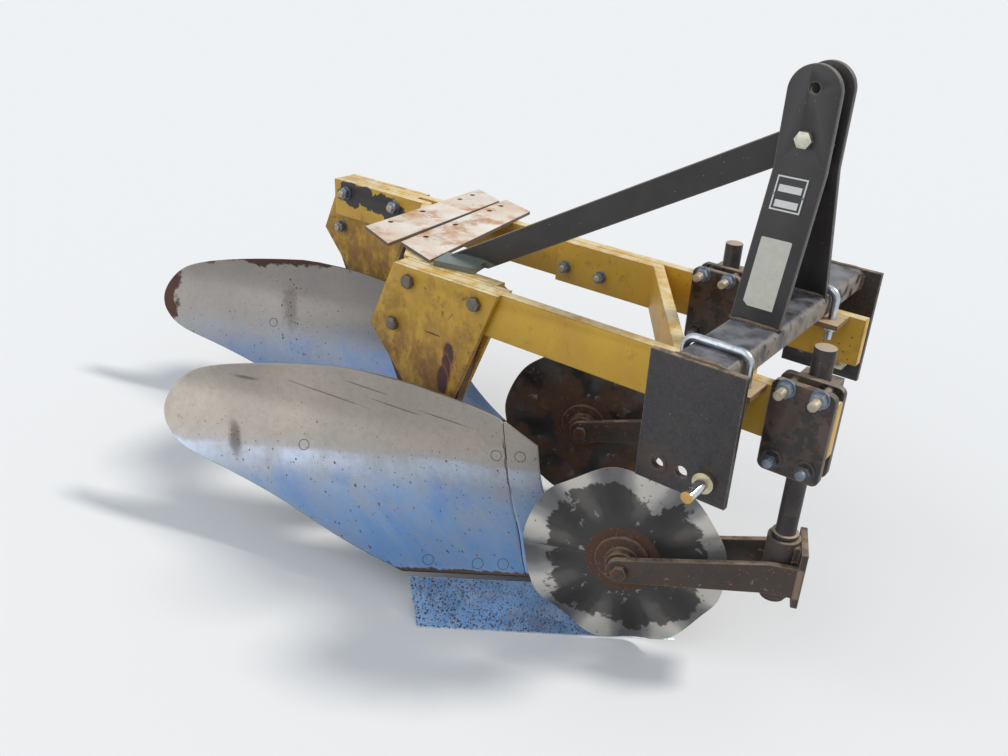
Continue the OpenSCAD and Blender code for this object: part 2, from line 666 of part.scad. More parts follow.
crossbar();
hitch_plate_right();
hitch_plate_left();
hitch_pin_right();
hitch_pin_left();
mast_plate_right();
mast_plate_left();
mast_bolt();
mast_brace();
beam_right();
beam_left();
front_tie();
rear_tie();
strap_plate_right();
strap_plate_left();
u_bolt_right();
u_bolt_left();
standard_plates_right();
standard_plates_left();
frog_right();
frog_left();
moldboard_right();
moldboard_left();
shin_right();
shin_left();
share_right();
share_left();
landside_right();
landside_left();
board_brace_right();
board_brace_left();
spare_shares();
coulter_clamp_right();
coulter_clamp_left();
coulter_shank_right();
coulter_shank_left();
coulter_yoke_right();
coulter_yoke_left();
coulter_axle_right();
coulter_axle_left();
coulter_disc_right();
coulter_disc_left();
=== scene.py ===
import json
import math
import random
import bpy
from mathutils import Matrix, Vector


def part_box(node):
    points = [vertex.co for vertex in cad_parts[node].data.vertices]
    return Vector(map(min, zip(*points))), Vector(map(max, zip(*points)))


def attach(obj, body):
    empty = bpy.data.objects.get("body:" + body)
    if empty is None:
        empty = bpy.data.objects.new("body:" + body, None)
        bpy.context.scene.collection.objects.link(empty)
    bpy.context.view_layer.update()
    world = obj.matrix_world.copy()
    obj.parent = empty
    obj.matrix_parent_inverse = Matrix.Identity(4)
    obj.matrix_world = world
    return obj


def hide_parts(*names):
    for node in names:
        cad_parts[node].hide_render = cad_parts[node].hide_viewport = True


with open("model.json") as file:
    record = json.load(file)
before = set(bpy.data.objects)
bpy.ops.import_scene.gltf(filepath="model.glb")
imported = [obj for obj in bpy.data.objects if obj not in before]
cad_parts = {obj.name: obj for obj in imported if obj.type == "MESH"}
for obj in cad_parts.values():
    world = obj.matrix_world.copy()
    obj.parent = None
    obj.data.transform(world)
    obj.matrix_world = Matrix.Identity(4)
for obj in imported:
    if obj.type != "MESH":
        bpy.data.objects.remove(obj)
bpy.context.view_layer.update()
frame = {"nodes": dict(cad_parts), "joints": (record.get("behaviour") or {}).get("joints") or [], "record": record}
print("frame loaded:", len(frame["nodes"]), "nodes")

# Places are in millimetres from the middle of the crossbar, with heights from the ground
barLow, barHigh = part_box("crossbar")
home = Vector(((barLow[0] + barHigh[0]) / 2, (barLow[1] + barHigh[1]) / 2, 0))


def place(x, y, z):
    return home + Vector((x, y, z)) / 1000


def feed(tree, node, name, value):
    # an input takes a link from a socket, or a plain value
    if isinstance(value, bpy.types.NodeSocket):
        tree.links.new(value, node.inputs[name])
    else:
        node.inputs[name].default_value = value


def put(tree, kind, values=None, **settings):
    node = tree.nodes.new(kind)
    for name, value in settings.items():
        setattr(node, name, value)
    for name, value in (values or {}).items():
        feed(tree, node, name, value)
    return node


def sums(tree, kind, a, b=None, c=None, clamp=False):
    node = put(tree, "ShaderNodeMath", operation=kind, use_clamp=clamp)
    for i, value in enumerate((a, b, c)):
        if value is not None:
            feed(tree, node, i, value)
    return node.outputs[0]


def vectorSums(tree, kind, a, b=None, output=0):
    node = put(tree, "ShaderNodeVectorMath", {0: a}, operation=kind)
    if b is not None:
        feed(tree, node, 1, b)
    return node.outputs[output]


def between(tree, value, low, high):
    node = put(tree, "ShaderNodeMapRange", {"Value": value, "From Min": low, "From Max": high},
               interpolation_type="SMOOTHSTEP")
    return node.outputs["Result"]


# Camera, light, world and floor
view = {"at": (577.9, -1664.0, 1364.2), "yaw": 126.37, "pitch": -26.73, "roll": 3.01, "lens": 33.57}
studio = {"keyFrom": (2.8, 2.2, 3.6), "key": 2.0, "keySpread": 9, "keyTint": (1.0, 0.96, 0.90),
          "fillFrom": (-0.5, -1.0, 0.75), "fill": 0.95, "fillSpread": 70, "fillTint": (0.96, 0.98, 1.0),
          "skyTint": (0.82, 0.90, 1.0), "sky": 0.50, "shown": (0.87, 0.885, 0.90),
          "floorHalf": 80, "floorLit": 0.42, "floorShown": 0.84}


def aimCamera():
    yaw, pitch, roll = (math.radians(view[k]) for k in ("yaw", "pitch", "roll"))
    ahead = Vector((math.cos(pitch) * math.cos(yaw), math.cos(pitch) * math.sin(yaw), math.sin(pitch)))
    right = ahead.cross(Vector((0, 0, 1))).normalized()
    up = right.cross(ahead)
    across = math.cos(roll) * right + math.sin(roll) * up
    upright = -math.sin(roll) * right + math.cos(roll) * up
    turn = Matrix((across, upright, -ahead)).transposed().to_4x4()
    data = bpy.data.cameras.new("photoCamera")
    data.lens = view["lens"]
    data.sensor_width = 36
    camera = bpy.data.objects.new("photoCamera", data)
    camera.matrix_world = Matrix.Translation(place(*view["at"])) @ turn
    bpy.context.scene.collection.objects.link(camera)
    bpy.context.scene.camera = camera


def softSun(name):
    data = bpy.data.lights.new(name + "Sun", "SUN")
    data.energy = studio[name]
    data.angle = math.radians(studio[name + "Spread"])
    data.color = studio[name + "Tint"]
    comesFrom = Vector(studio[name + "From"])
    lamp = bpy.data.objects.new(name + "Sun", data)
    lamp.location = comesFrom
    lamp.rotation_euler = comesFrom.to_track_quat("Z", "Y").to_euler()
    bpy.context.scene.collection.objects.link(lamp)


def seenDirectly(tree):
    # one for rays that show the pale studio: camera, glossy and transmission
    path = put(tree, "ShaderNodeLightPath").outputs
    total = path["Is Camera Ray"]
    for name in ("Is Glossy Ray", "Is Transmission Ray"):
        total = sums(tree, "MAXIMUM", total, path[name])
    return total


def paleWorld():
    world = bpy.data.worlds.new("paleStudio")
    world.use_nodes = True
    tree = world.node_tree
    tree.nodes.clear()
    light = put(tree, "ShaderNodeBackground", {"Color": (*studio["skyTint"], 1), "Strength": studio["sky"]})
    shown = put(tree, "ShaderNodeBackground", {"Color": (*studio["shown"], 1)})
    pick = put(tree, "ShaderNodeMixShader", {0: seenDirectly(tree), 1: light.outputs[0], 2: shown.outputs[0]})
    put(tree, "ShaderNodeOutputWorld", {"Surface": pick.outputs[0]})
    bpy.context.scene.world = world


def paleFloor():
    mesh = bpy.data.meshes.new("floor")
    far = studio["floorHalf"]
    mesh.from_pydata([(-far, -far, 0), (far, -far, 0), (far, far, 0), (-far, far, 0)], [], [(0, 1, 2, 3)])
    obj = bpy.data.objects.new("floor", mesh)
    bpy.context.scene.collection.objects.link(obj)
    material = bpy.data.materials.new("paleFloor")
    material.use_nodes = True
    tree = material.node_tree
    tree.nodes.clear()
    pick = put(tree, "ShaderNodeMixShader", {0: seenDirectly(tree)})
    for i, level in ((1, studio["floorLit"]), (2, studio["floorShown"])):
        shade = put(tree, "ShaderNodeBsdfDiffuse", {"Color": (level, level, level, 1)})
        feed(tree, pick, i, shade.outputs[0])
    put(tree, "ShaderNodeOutputMaterial", {"Surface": pick.outputs[0]})
    mesh.materials.append(material)


aimCamera()
softSun("key")
softSun("fill")
paleWorld()
paleFloor()
bpy.context.scene.view_settings.view_transform = "Standard"
print("studio ready")


def newGroup(name, inputs):
    group = bpy.data.node_groups.new(name, "ShaderNodeTree")
    kinds = {float: "NodeSocketFloat", tuple: "NodeSocketVector"}
    for label, start in inputs.items():
        socket = group.interface.new_socket(label, in_out="INPUT", socket_type=kinds[type(start)])
        socket.default_value = start
    group.interface.new_socket("Mask", in_out="OUTPUT", socket_type="NodeSocketFloat")
    return group, group.nodes.new("NodeGroupInput").outputs, group.nodes.new("NodeGroupOutput").inputs["Mask"]


# Bare or worn edges, from how far a rounded normal leans off the true one
def makeEdgeWear():
    tree, take, give = newGroup("edgeWear", {"Vector": (0.0, 0.0, 0.0), "Width": 0.004, "Amount": 0.5,
                                             "Break": 60.0})
    rounded = put(tree, "ShaderNodeBevel", {"Radius": take["Width"]}, samples=4)
    true = put(tree, "ShaderNodeNewGeometry")
    lean = vectorSums(tree, "DOT_PRODUCT", rounded.outputs[0], true.outputs["Normal"], "Value")
    off = sums(tree, "MULTIPLY", sums(tree, "SUBTRACT", 1.0, lean), 7.0)
    ragged = put(tree, "ShaderNodeTexNoise", {"Vector": take["Vector"], "Scale": take["Break"],
                                              "Detail": 4.0, "Roughness": 0.7})
    kept = sums(tree, "ADD", off, sums(tree, "SUBTRACT", ragged.outputs[0], 0.5))
    limit = sums(tree, "SUBTRACT", 1.0, take["Amount"])
    tree.links.new(between(tree, kept, limit, sums(tree, "ADD", limit, 0.25)), give)
    return tree


# Ragged patches of noise that cover a given share of the surface
def makePatches():
    tree, take, give = newGroup("patches", {"Vector": (0.0, 0.0, 0.0), "Scale": 8.0, "Cover": 0.4,
                                            "Softness": 0.06, "Warp": 0.3})
    grain = put(tree, "ShaderNodeTexNoise", {"Vector": take["Vector"], "Scale": take["Scale"], "Detail": 9.0,
                                             "Roughness": 0.62, "Distortion": take["Warp"]})
    limit = sums(tree, "SUBTRACT", 0.72, sums(tree, "MULTIPLY", take["Cover"], 0.44))
    low = sums(tree, "SUBTRACT", limit, take["Softness"])
    high = sums(tree, "ADD", limit, take["Softness"])
    tree.links.new(between(tree, grain.outputs[0], low, high), give)
    return tree


# Small round specks, such as pits, chips or grit
def makeSpecks():
    tree, take, give = newGroup("specks", {"Vector": (0.0, 0.0, 0.0), "Scale": 150.0, "Size": 0.25,
                                           "Share": 0.4})
    cells = put(tree, "ShaderNodeTexVoronoi", {"Vector": take["Vector"], "Scale": take["Scale"],
                                               "Randomness": 1.0})
    parts = put(tree, "ShaderNodeSeparateColor", {"Color": cells.outputs["Color"]})
    size = sums(tree, "MULTIPLY", take["Size"], sums(tree, "MULTIPLY_ADD", parts.outputs[1], 0.9, 0.5))
    dot = put(tree, "ShaderNodeMapRange", {"Value": cells.outputs["Distance"], "From Min": size,
                                           "From Max": sums(tree, "MULTIPLY", size, 0.6)})
    some = sums(tree, "LESS_THAN", parts.outputs[0], take["Share"])
    tree.links.new(sums(tree, "MULTIPLY", dot.outputs["Result"], some, clamp=True), give)
    return tree


# Fine scratches that run along X of the given vector
def makeScratches():
    tree, take, give = newGroup("scratches", {"Vector": (0.0, 0.0, 0.0), "Along": 4.0, "Across": 300.0,
                                              "Cover": 0.3})
    stretch = put(tree, "ShaderNodeCombineXYZ", {"X": take["Along"], "Y": take["Across"], "Z": take["Across"]})
    pulled = vectorSums(tree, "MULTIPLY", take["Vector"], stretch.outputs[0])
    lines = put(tree, "ShaderNodeTexNoise", {"Vector": pulled, "Scale": 1.0, "Detail": 5.0,
                                             "Roughness": 0.75})
    limit = sums(tree, "SUBTRACT", 0.78, sums(tree, "MULTIPLY", take["Cover"], 0.5))
    tree.links.new(between(tree, lines.outputs[0], limit, sums(tree, "ADD", limit, 0.10)), give)
    return tree


# Faces that look one way, such as tops that catch dust
def makeFacing():
    tree, take, give = newGroup("facing", {"Direction": (0.0, 0.0, 1.0), "Low": 0.35, "High": 0.9})
    true = put(tree, "ShaderNodeNewGeometry")
    lean = vectorSums(tree, "DOT_PRODUCT", true.outputs["Normal"], take["Direction"], "Value")
    tree.links.new(between(tree, lean, take["Low"], take["High"]), give)
    return tree


# One ragged blot round a centre, such as spilt paint, a stain or a long gouge
def makeBlot():
    tree, take, give = newGroup("blot", {"Vector": (0.0, 0.0, 0.0), "Centre": (0.0, 0.0, 0.0),
                                         "Radii": (0.05, 0.05, 0.05), "Ragged": 0.4, "Soft": 0.08,
                                         "Grain": 45.0})
    off = vectorSums(tree, "SUBTRACT", take["Vector"], take["Centre"])
    far = vectorSums(tree, "LENGTH", vectorSums(tree, "DIVIDE", off, take["Radii"]), output="Value")
    wave = put(tree, "ShaderNodeTexNoise", {"Vector": take["Vector"], "Scale": take["Grain"], "Detail": 6.0,
                                            "Roughness": 0.65})
    shaken = sums(tree, "MULTIPLY_ADD", sums(tree, "SUBTRACT", wave.outputs[0], 0.5),
                  sums(tree, "MULTIPLY", take["Ragged"], 4.0), far)
    low = sums(tree, "SUBTRACT", 1.0, take["Soft"])
    high = sums(tree, "ADD", 1.0, take["Soft"])
    tree.links.new(between(tree, shaken, high, low), give)
    return tree


# The thin dark ring round a flush bolt head
def makeBoltRing():
    tree, take, give = newGroup("boltRing", {"Vector": (0.0, 0.0, 0.0), "Centre": (0.0, 0.0, 0.0),
                                             "Radius": 0.012, "Width": 0.0011})
    off = vectorSums(tree, "SUBTRACT", take["Vector"], take["Centre"])
    far = vectorSums(tree, "LENGTH", off, output="Value")
    away = sums(tree, "ABSOLUTE", sums(tree, "SUBTRACT", far, take["Radius"]))
    tree.links.new(between(tree, away, take["Width"], sums(tree, "MULTIPLY", take["Width"], 0.4)), give)
    return tree


groups = {"edgeWear": makeEdgeWear(), "patches": makePatches(), "specks": makeSpecks(),
          "scratches": makeScratches(), "facing": makeFacing(), "blot": makeBlot(), "boltRing": makeBoltRing()}
print("shared effects ready:", ", ".join(groups))


# A finish grows from a colour and a roughness that each layer covers by its mask
class Finish:
    def __init__(self, name, colour, roughness, metallic=0.0, attribute=None):
        self.material = bpy.data.materials.new(name)
        self.material.use_nodes = True
        self.tree = self.material.node_tree
        self.shader = self.tree.nodes["Principled BSDF"]
        if attribute:
            self.where = put(self.tree, "ShaderNodeAttribute", attribute_name=attribute).outputs["Vector"]
        else:
            self.where = put(self.tree, "ShaderNodeTexCoord").outputs["Object"]
        self.colour = put(self.tree, "ShaderNodeRGB").outputs[0]
        self.colour.default_value = (*colour, 1)
        self.roughness = roughness
        self.metallic = metallic
        self.height = None

    def mask(self, effect, **values):
        node = put(self.tree, "ShaderNodeGroup", node_tree=groups[effect])
        if "Vector" in node.inputs:
            self.tree.links.new(values.pop("Vector", self.where), node.inputs["Vector"])
        for name, value in values.items():
            feed(self.tree, node, name, value)
        return node.outputs["Mask"]

    def both(self, a, b):
        return sums(self.tree, "MULTIPLY", a, b, clamp=True)

    def ramp(self, value, low, high):
        return between(self.tree, value, low, high)

    def axes(self):
        return put(self.tree, "ShaderNodeSeparateXYZ", {"Vector": self.where}).outputs

    def cloud(self, scale, detail=6.0, roughness=0.6, stretch=None):
        vector = self.where
        if stretch:
            vector = vectorSums(self.tree, "MULTIPLY", vector, stretch)
        return put(self.tree, "ShaderNodeTexNoise", {"Vector": vector, "Scale": scale, "Detail": detail,
                                                     "Roughness": roughness}).outputs[0]

    def shaken(self, value, amount, *grain):
        # noise moves the value either way, by up to half of the amount
        return sums(self.tree, "MULTIPLY_ADD", sums(self.tree, "SUBTRACT", self.cloud(*grain), 0.5), amount, value)

    def blend(self, mask, a, b):
        return put(self.tree, "ShaderNodeMix", {0: mask, 2: a, 3: b}, data_type="FLOAT",
                   clamp_factor=True).outputs[0]

    def cover(self, mask, colour, roughness=None, metallic=None, strength=1.0):
        if strength != 1.0:
            mask = sums(self.tree, "MULTIPLY", mask, strength)
        mix = put(self.tree, "ShaderNodeMix", {0: mask, 6: self.colour, 7: (*colour, 1)}, data_type="RGBA",
                  clamp_factor=True)
        self.colour = mix.outputs[2]
        if roughness is not None:
            self.roughness = self.blend(mask, self.roughness, roughness)
        if metallic is not None:
            self.metallic = self.blend(mask, self.metallic, metallic)

    def lift(self, mask, height):
        step = sums(self.tree, "MULTIPLY", mask, height)
        self.height = step if self.height is None else sums(self.tree, "ADD", self.height, step)

    def tint(self, scale, low, high):
        # the whole colour wanders between two brightnesses
        factor = put(self.tree, "ShaderNodeMapRange", {"Value": self.cloud(scale), "From Min": 0.3,
                                                       "From Max": 0.7, "To Min": low, "To Max": high})
        mix = put(self.tree, "ShaderNodeMix", {0: 1.0, 6: self.colour, 7: factor.outputs["Result"]},
                  data_type="RGBA", blend_type="MULTIPLY")
        self.colour = mix.outputs[2]

    def dust(self, amount, colour, scale=24.0, roughness=0.8):
        up = self.mask("facing", Direction=(0.0, 0.0, 1.0), Low=0.35, High=0.95)
        thick = self.both(up, self.ramp(self.cloud(scale), 0.28, 0.66))
        self.cover(thick, colour, roughness, strength=amount)

    def done(self, bump=0.4):
        for name, value in (("Base Color", self.colour), ("Roughness", self.roughness),
                            ("Metallic", self.metallic)):
            feed(self.tree, self.shader, name, value)
        if self.height is not None:
            node = put(self.tree, "ShaderNodeBump", {"Strength": bump, "Distance": 0.001,
                                                     "Height": self.height})
            self.tree.links.new(node.outputs[0], self.shader.inputs["Normal"])
        return self.material


# Curves of the moldboard, which its finish and its mesh share
board = {"landY": -203.0, "thick": 6.4, "low": 66.0, "top": 421.0, "stagger": -591.0, "spacing": 406.4,
         "columns": 96, "rows": 56, "crowding": 1.25,
         "shinSquare": 317.0, "shinTop": 359.0, "shinColumns": 16, "shinRows": 26, "shinTopRows": 8,
         "shinSlope": 76 / 47, "gap": 2.0}
shinEdge = [(60, -176), (90, -238), (120, -287), (150, -326), (182, -356), (215, -375), (250, -386),
            (316, -398), (370, -404), (430, -408)]  # height, place forward
boardRuns = [(66, 180, 448), (98, 141, 538), (122, 117, 594), (146, 100, 655), (170, 89, 738),
             (198, 80, 851), (225, 76, 893), (255, 74, 908), (285, 74, 905), (316, 75, 884),
             (346, 77, 845), (364, 82, 800), (382, 140, 727), (401, 225, 620), (414, 300, 520),
             (421, 400, 452)]  # height, run back to the seam, run back to the tail
boardAngle = [(62, 37), (120, 32.5), (200, 27), (260, 24.4), (320, 22), (430, 21)]  # height, degrees
boardBolts = [(-883, 234), (-480, 279), (-431, 286), (-518, 79), (-429, 78), (-385, 79)]  # forward, height

# The coulter disc and its hub
disc = {"diameter": 406.4, "thick": 5.0, "waves": 8, "waveHeight": 18.0, "middle": 20.0, "flat": 78.0,
        "shoulder": 196.0, "lip": [199.0, 201.7], "taper": 186.0, "edge": 1.4, "steps": 240, "unroll": 0.12,
        "innerRings": 4, "outerRings": 18, "growth": 1.2, "faceApart": 0.3, "sideApart": 0.7}
hub = {"half": 29.0, "bore": 19.16, "out": 31.0, "flange": 55.0, "flangeHalf": 9.0, "steps": 64,
       "cut": 1.5, "fillet": [(0, 3), (2, 0.5)], "round": 2}


def smooth(x, table, column):
    # a smooth curve through the rows of a table
    i = 0
    while i < len(table) - 2 and x >= table[i + 1][0]:
        i += 1
    a, b = table[i], table[i + 1]
    p = table[i - 1] if i > 0 else a
    q = table[i + 2] if i < len(table) - 2 else b
    h = b[0] - a[0]
    u = (x - a[0]) / h
    ma = (b[column] - p[column]) / (b[0] - p[0]) * h
    mb = (q[column] - a[column]) / (q[0] - a[0]) * h
    return ((2 * u ** 3 - 3 * u ** 2 + 1) * a[column] + (u ** 3 - 2 * u ** 2 + u) * ma
            + (3 * u ** 2 - 2 * u ** 3) * b[column] + (u ** 3 - u ** 2) * mb)


def boardPoint(s, z):
    g = math.radians(smooth(z, boardAngle, 1))
    return Vector((smooth(z, shinEdge, 1) - s * math.cos(g), board["landY"] - s * math.sin(g), z))


def boardNormal(s, z):
    g = math.radians(smooth(z, boardAngle, 1))
    rise = boardPoint(s, z + 1) - boardPoint(s, z - 1)
    return Vector((-math.cos(g), -math.sin(g), 0)).cross(rise).normalized()


def runBack(x, z):
    # how far back from the shin edge a point of the board lies
    return (smooth(z, shinEdge, 1) - x) / math.cos(math.radians(smooth(z, boardAngle, 1)))


# Tones that several finishes share
rust = {"light": (0.30, 0.12, 0.045), "brown": (0.13, 0.058, 0.030), "dark": (0.062, 0.028, 0.017)}
dust = {"pale": (0.46, 0.40, 0.32), "tan": (0.40, 0.28, 0.18)}
pin = {"x": 46, "z": 489, "plateY": 343, "middle": 380, "tip": 408}  # lower link pins and their plates


def blackPaint(name, dusty=0.30, wear=0.62, colour=(0.019, 0.0165, 0.0170), dustAndSheenTone=dust["pale"]):
    f = Finish(name, colour, 0.34)
    f.tint(9, 0.75, 1.45)
    f.cover(f.mask("patches", Scale=14, Cover=0.40, Softness=0.16), (0.043, 0.040, 0.041), 0.48, strength=0.5)
    f.cover(f.mask("specks", Scale=120, Size=0.13, Share=0.16), (0.34, 0.32, 0.29), 0.7, strength=0.6)
    f.cover(f.mask("scratches", Along=9, Across=420, Cover=0.09), (0.15, 0.14, 0.135), 0.45, strength=0.55)
    f.dust(dusty, dustAndSheenTone)
    edge = f.mask("edgeWear", Width=0.0042, Amount=wear, Break=90)
    f.cover(edge, (0.30, 0.235, 0.17), 0.5, strength=0.7)
    f.cover(f.mask("patches", Scale=38, Cover=0.08, Softness=0.04), rust["dark"], 0.85)
    f.lift(f.cloud(700, 3), 0.12)
    f.lift(edge, -0.25)
    return f


def crossbarPaint():
    # the front face is rubbed to tan metal between flakes of black, and painted paler as painted light falling on
    # it; the bluish dust on the top is partly a painted sky reflection
    f = blackPaint("crossbarPaint", 0.46, dustAndSheenTone=(0.36, 0.37, 0.40))
    ahead = f.mask("facing", Direction=(1.0, 0.0, 0.0))
    rubbedAndLit = f.both(ahead, f.mask("patches", Scale=26, Cover=0.62, Softness=0.08))
    f.cover(rubbedAndLit, (0.30, 0.26, 0.215), 0.7, strength=0.8)
    f.cover(f.both(ahead, f.mask("patches", Scale=60, Cover=0.20, Softness=0.03)), rust["brown"], 0.85)
    return f.done(0.4)


def hitchPaint():
    f = blackPaint("hitchPaint", 0.85, 0.66, (0.024, 0.0185, 0.0195), dust["tan"])
    f.cover(f.mask("patches", Scale=110, Cover=0.42, Softness=0.10), (0.008, 0.007, 0.008), 0.5, strength=0.55)
    f.cover(f.mask("specks", Scale=330, Size=0.26, Share=0.34), (0.15, 0.14, 0.14), 0.6, strength=0.55)
    f.cover(f.mask("scratches", Along=14, Across=90, Cover=0.14), (0.085, 0.08, 0.085), 0.5, strength=0.5)
    f.lift(f.cloud(260, 5), 0.8)
    for side in (-1, 1):  # rust round the rear hole
        middle = place(-pin["x"], side * pin["plateY"], pin["z"])
        hole = f.mask("blot", Centre=middle, Radii=(0.036, 0.012, 0.036), Ragged=0.35, Soft=0.3)
        f.cover(hole, (0.075, 0.045, 0.035), 0.8, strength=0.6)
    return f.done(0.4)


def bracePaint():
    f = blackPaint("bracePaint", 0.25, 0.55, (0.022, 0.0185, 0.017))
    f.cover(f.mask("scratches", Along=16, Across=160, Cover=0.16), (0.16, 0.145, 0.13), 0.5, strength=0.5)
    foot = f.mask("blot", Centre=place(-671, -140, 652), Radii=(0.085, 0.08, 0.020), Ragged=0.25)
    f.cover(foot, (0.135, 0.155, 0.135), 0.42)  # pale and a little green, a painted sheen where the foot bends
    return f.done(0.4)


def yellowPaint(name, wash=0.0):
    f = Finish(name, (0.65, 0.375, 0.034), 0.40)
    f.tint(6, 0.84, 1.12)
    f.cover(f.mask("patches", Scale=11, Cover=0.34, Softness=0.18), (0.50, 0.265, 0.040), 0.5, strength=0.5)
    f.cover(f.mask("patches", Scale=24, Cover=0.18 + wash * 0.3, Softness=0.10), (0.20, 0.105, 0.035), 0.65,
            strength=0.45)
    chips = f.mask("patches", Scale=70, Cover=0.07 + wash * 0.06, Softness=0.012)
    f.cover(chips, rust["dark"], 0.8)
    f.cover(f.mask("specks", Scale=90, Size=0.15, Share=0.22), (0.12, 0.055, 0.026), 0.8, strength=0.8)
    f.cover(f.mask("scratches", Along=12, Across=330, Cover=0.05), (0.60, 0.42, 0.16), 0.5, strength=0.6)
    f.dust(0.78, (0.84, 0.75, 0.50), 30)
    edge = f.mask("edgeWear", Width=0.0045, Amount=0.58, Break=70)
    f.cover(edge, rust["dark"], 0.8, strength=0.75)
    f.lift(f.cloud(420, 3), 0.15)
    f.lift(chips, -0.35)
    f.lift(edge, -0.25)
    return f


# Forward, height, half width and half height of each blot, on these faces
standardY, rearTieY = -246, 136
burntStreak = [(-621, 482, 13, 26), (-628, 446, 12, 34), (-638, 412, 15, 34)]
blackSpill = [(-1316, 618, 50, 34), (-1262, 622, 52, 30), (-1205, 612, 56, 32), (-1152, 605, 44, 40)]


def standardPaint():
    # rust runs down the plates from their middle, with one burnt streak by the front edge
    f = yellowPaint("standardPaint", 0.5)
    parts = f.axes()
    fall = f.ramp(parts["Z"], 0.66, 0.42)
    runs = f.ramp(f.cloud(9, 8, 0.7, (2.2, 2.2, 1.2)), 0.34, 0.60)
    f.cover(f.both(fall, runs), (0.195, 0.092, 0.034), 0.75, strength=0.85)
    f.cover(f.mask("patches", Scale=34, Cover=0.16, Softness=0.05), (0.14, 0.062, 0.024), 0.85, strength=0.7)
    rear = f.ramp(parts["X"], place(-690, 0, 0).x, place(-590, 0, 0).x)
    grit = f.both(f.both(fall, rear), f.mask("specks", Scale=160, Size=0.3, Share=0.6))
    f.cover(grit, (0.085, 0.038, 0.020), 0.85, strength=0.8)
    for x, z, wide, tall in burntStreak:
        centre = place(x, standardY, z)
        rim = f.mask("blot", Centre=centre, Radii=(wide * 0.00125, 0.02, tall * 0.00115), Ragged=0.3, Soft=0.2)
        f.cover(rim, (0.27, 0.115, 0.030), 0.8, strength=0.8)
        core = f.mask("blot", Centre=centre, Radii=(wide / 1000, 0.02, tall / 1000), Ragged=0.3)
        f.cover(core, (0.070, 0.030, 0.030), 0.75)
    raised = vectorSums(f.tree, "ADD", f.where, (0.0, 0.0, 0.004))  # the cut lies 4 mm below its centre
    cut = f.mask("blot", Vector=raised, Centre=place(-669, -245, 520), Radii=(0.024, 0.02, 0.0016), Ragged=0.12)
    f.cover(cut, rust["dark"], 0.8)
    return f.done(0.45)


def rearTiePaint():
    # a black spill round the two upper nuts of the rear bottom
    f = yellowPaint("rearTiePaint", 0.2)
    for x, z, wide, tall in blackSpill:
        spill = f.mask("blot", Centre=place(x, rearTieY, z), Radii=(wide / 1000, 0.012, tall / 1000),
                       Ragged=0.42, Grain=34.0, Soft=0.03)
        f.cover(spill, (0.032, 0.027, 0.027), 0.6)
    return f.done(0.4)


def tanPaint():
    # sun-bleached on top, brown at the sides
    f = Finish("tanPaint", (0.26, 0.145, 0.070), 0.6)
    f.tint(16, 0.75, 1.2)
    f.cover(f.mask("facing"), (0.60, 0.44, 0.26), 0.55, strength=0.9)
    f.cover(f.mask("patches", Scale=40, Cover=0.20, Softness=0.07), (0.24, 0.12, 0.055), 0.75)
    f.cover(f.mask("edgeWear", Width=0.004, Amount=0.6, Break=80), rust["dark"], 0.8, strength=0.8)
    f.lift(f.cloud(420, 3), 0.2)
    return f.done(0.4)


def plating(name, colour, rustCover=0.10, roughness=0.28):
    f = Finish(name, colour, roughness, 1.0)
    f.tint(60, 0.72, 1.12)
    f.cover(f.mask("patches", Scale=90, Cover=0.28, Softness=0.12), (0.40, 0.40, 0.38), 0.5, 0.7, strength=0.55)
    f.cover(f.mask("patches", Scale=70, Cover=rustCover, Softness=0.06), rust["light"], 0.85, 0.0)
    f.cover(f.mask("patches", Scale=45, Cover=rustCover * 0.7, Softness=0.05), rust["dark"], 0.85, 0.0)
    f.lift(f.cloud(600, 3), 0.14)
    return f


def pinPlating():
    # gold zinc, worn to silver round the cross hole and orange on the end
    f = plating("pinPlating", (0.62, 0.55, 0.36), 0.06)
    for side in (-1, 1):
        middle = place(pin["x"], side * pin["middle"], pin["z"])
        bare = f.mask("blot", Centre=middle, Radii=(0.05, 0.022, 0.05), Ragged=0.2, Soft=0.2)
        f.cover(bare, (0.60, 0.63, 0.66), 0.2)
        end = f.mask("facing", Direction=(0.0, float(side), 0.0), Low=0.9, High=0.97)
        point = place(pin["x"], side * pin["tip"], pin["z"])
        tip = f.mask("blot", Centre=point, Radii=(0.03, 0.006, 0.03), Ragged=0.0)
        f.cover(f.both(end, tip), (0.56, 0.34, 0.12), 0.4)
    return f.done(0.4)


def fastenerSteel(name, colour, metallic, rustCover):
    f = Finish(name, colour, 0.5, metallic)
    f.tint(80, 0.7, 1.25)
    f.cover(f.mask("patches", Scale=75, Cover=rustCover, Softness=0.08), (0.15, 0.085, 0.050), 0.85, 0.0)
    f.cover(f.mask("specks", Scale=320, Size=0.3, Share=0.3), (0.36, 0.31, 0.25), 0.8, 0.0, strength=0.6)
    f.lift(f.cloud(500, 4), 0.3)
    return f.done(0.5)


def rustyBlack(name, colour, brownCover, rustCover, tan=0.35):
    f = Finish(name, colour, 0.52)
    f.tint(16, 0.65, 1.4)
    brown = f.mask("patches", Scale=18, Cover=brownCover, Softness=0.16)
    f.cover(brown, (0.078, 0.047, 0.032), 0.72, strength=0.75)
    f.cover(f.mask("patches", Scale=46, Cover=rustCover, Softness=0.07), rust["brown"], 0.88, strength=0.85)
    f.cover(f.mask("patches", Scale=80, Cover=0.14, Softness=0.05), dust["tan"], 0.9, strength=0.7)
    f.cover(f.mask("specks", Scale=150, Size=0.2, Share=0.25), (0.28, 0.22, 0.17), 0.8, strength=0.5)
    f.dust(tan, (0.44, 0.33, 0.23), 30, 0.85)
    worn = f.mask("edgeWear", Width=0.0038, Amount=0.6, Break=85)
    f.cover(worn, (0.36, 0.26, 0.17), 0.65, strength=0.7)
    f.lift(brown, 0.3)
    f.lift(f.cloud(480, 4), 0.35)
    return f.done(0.5)


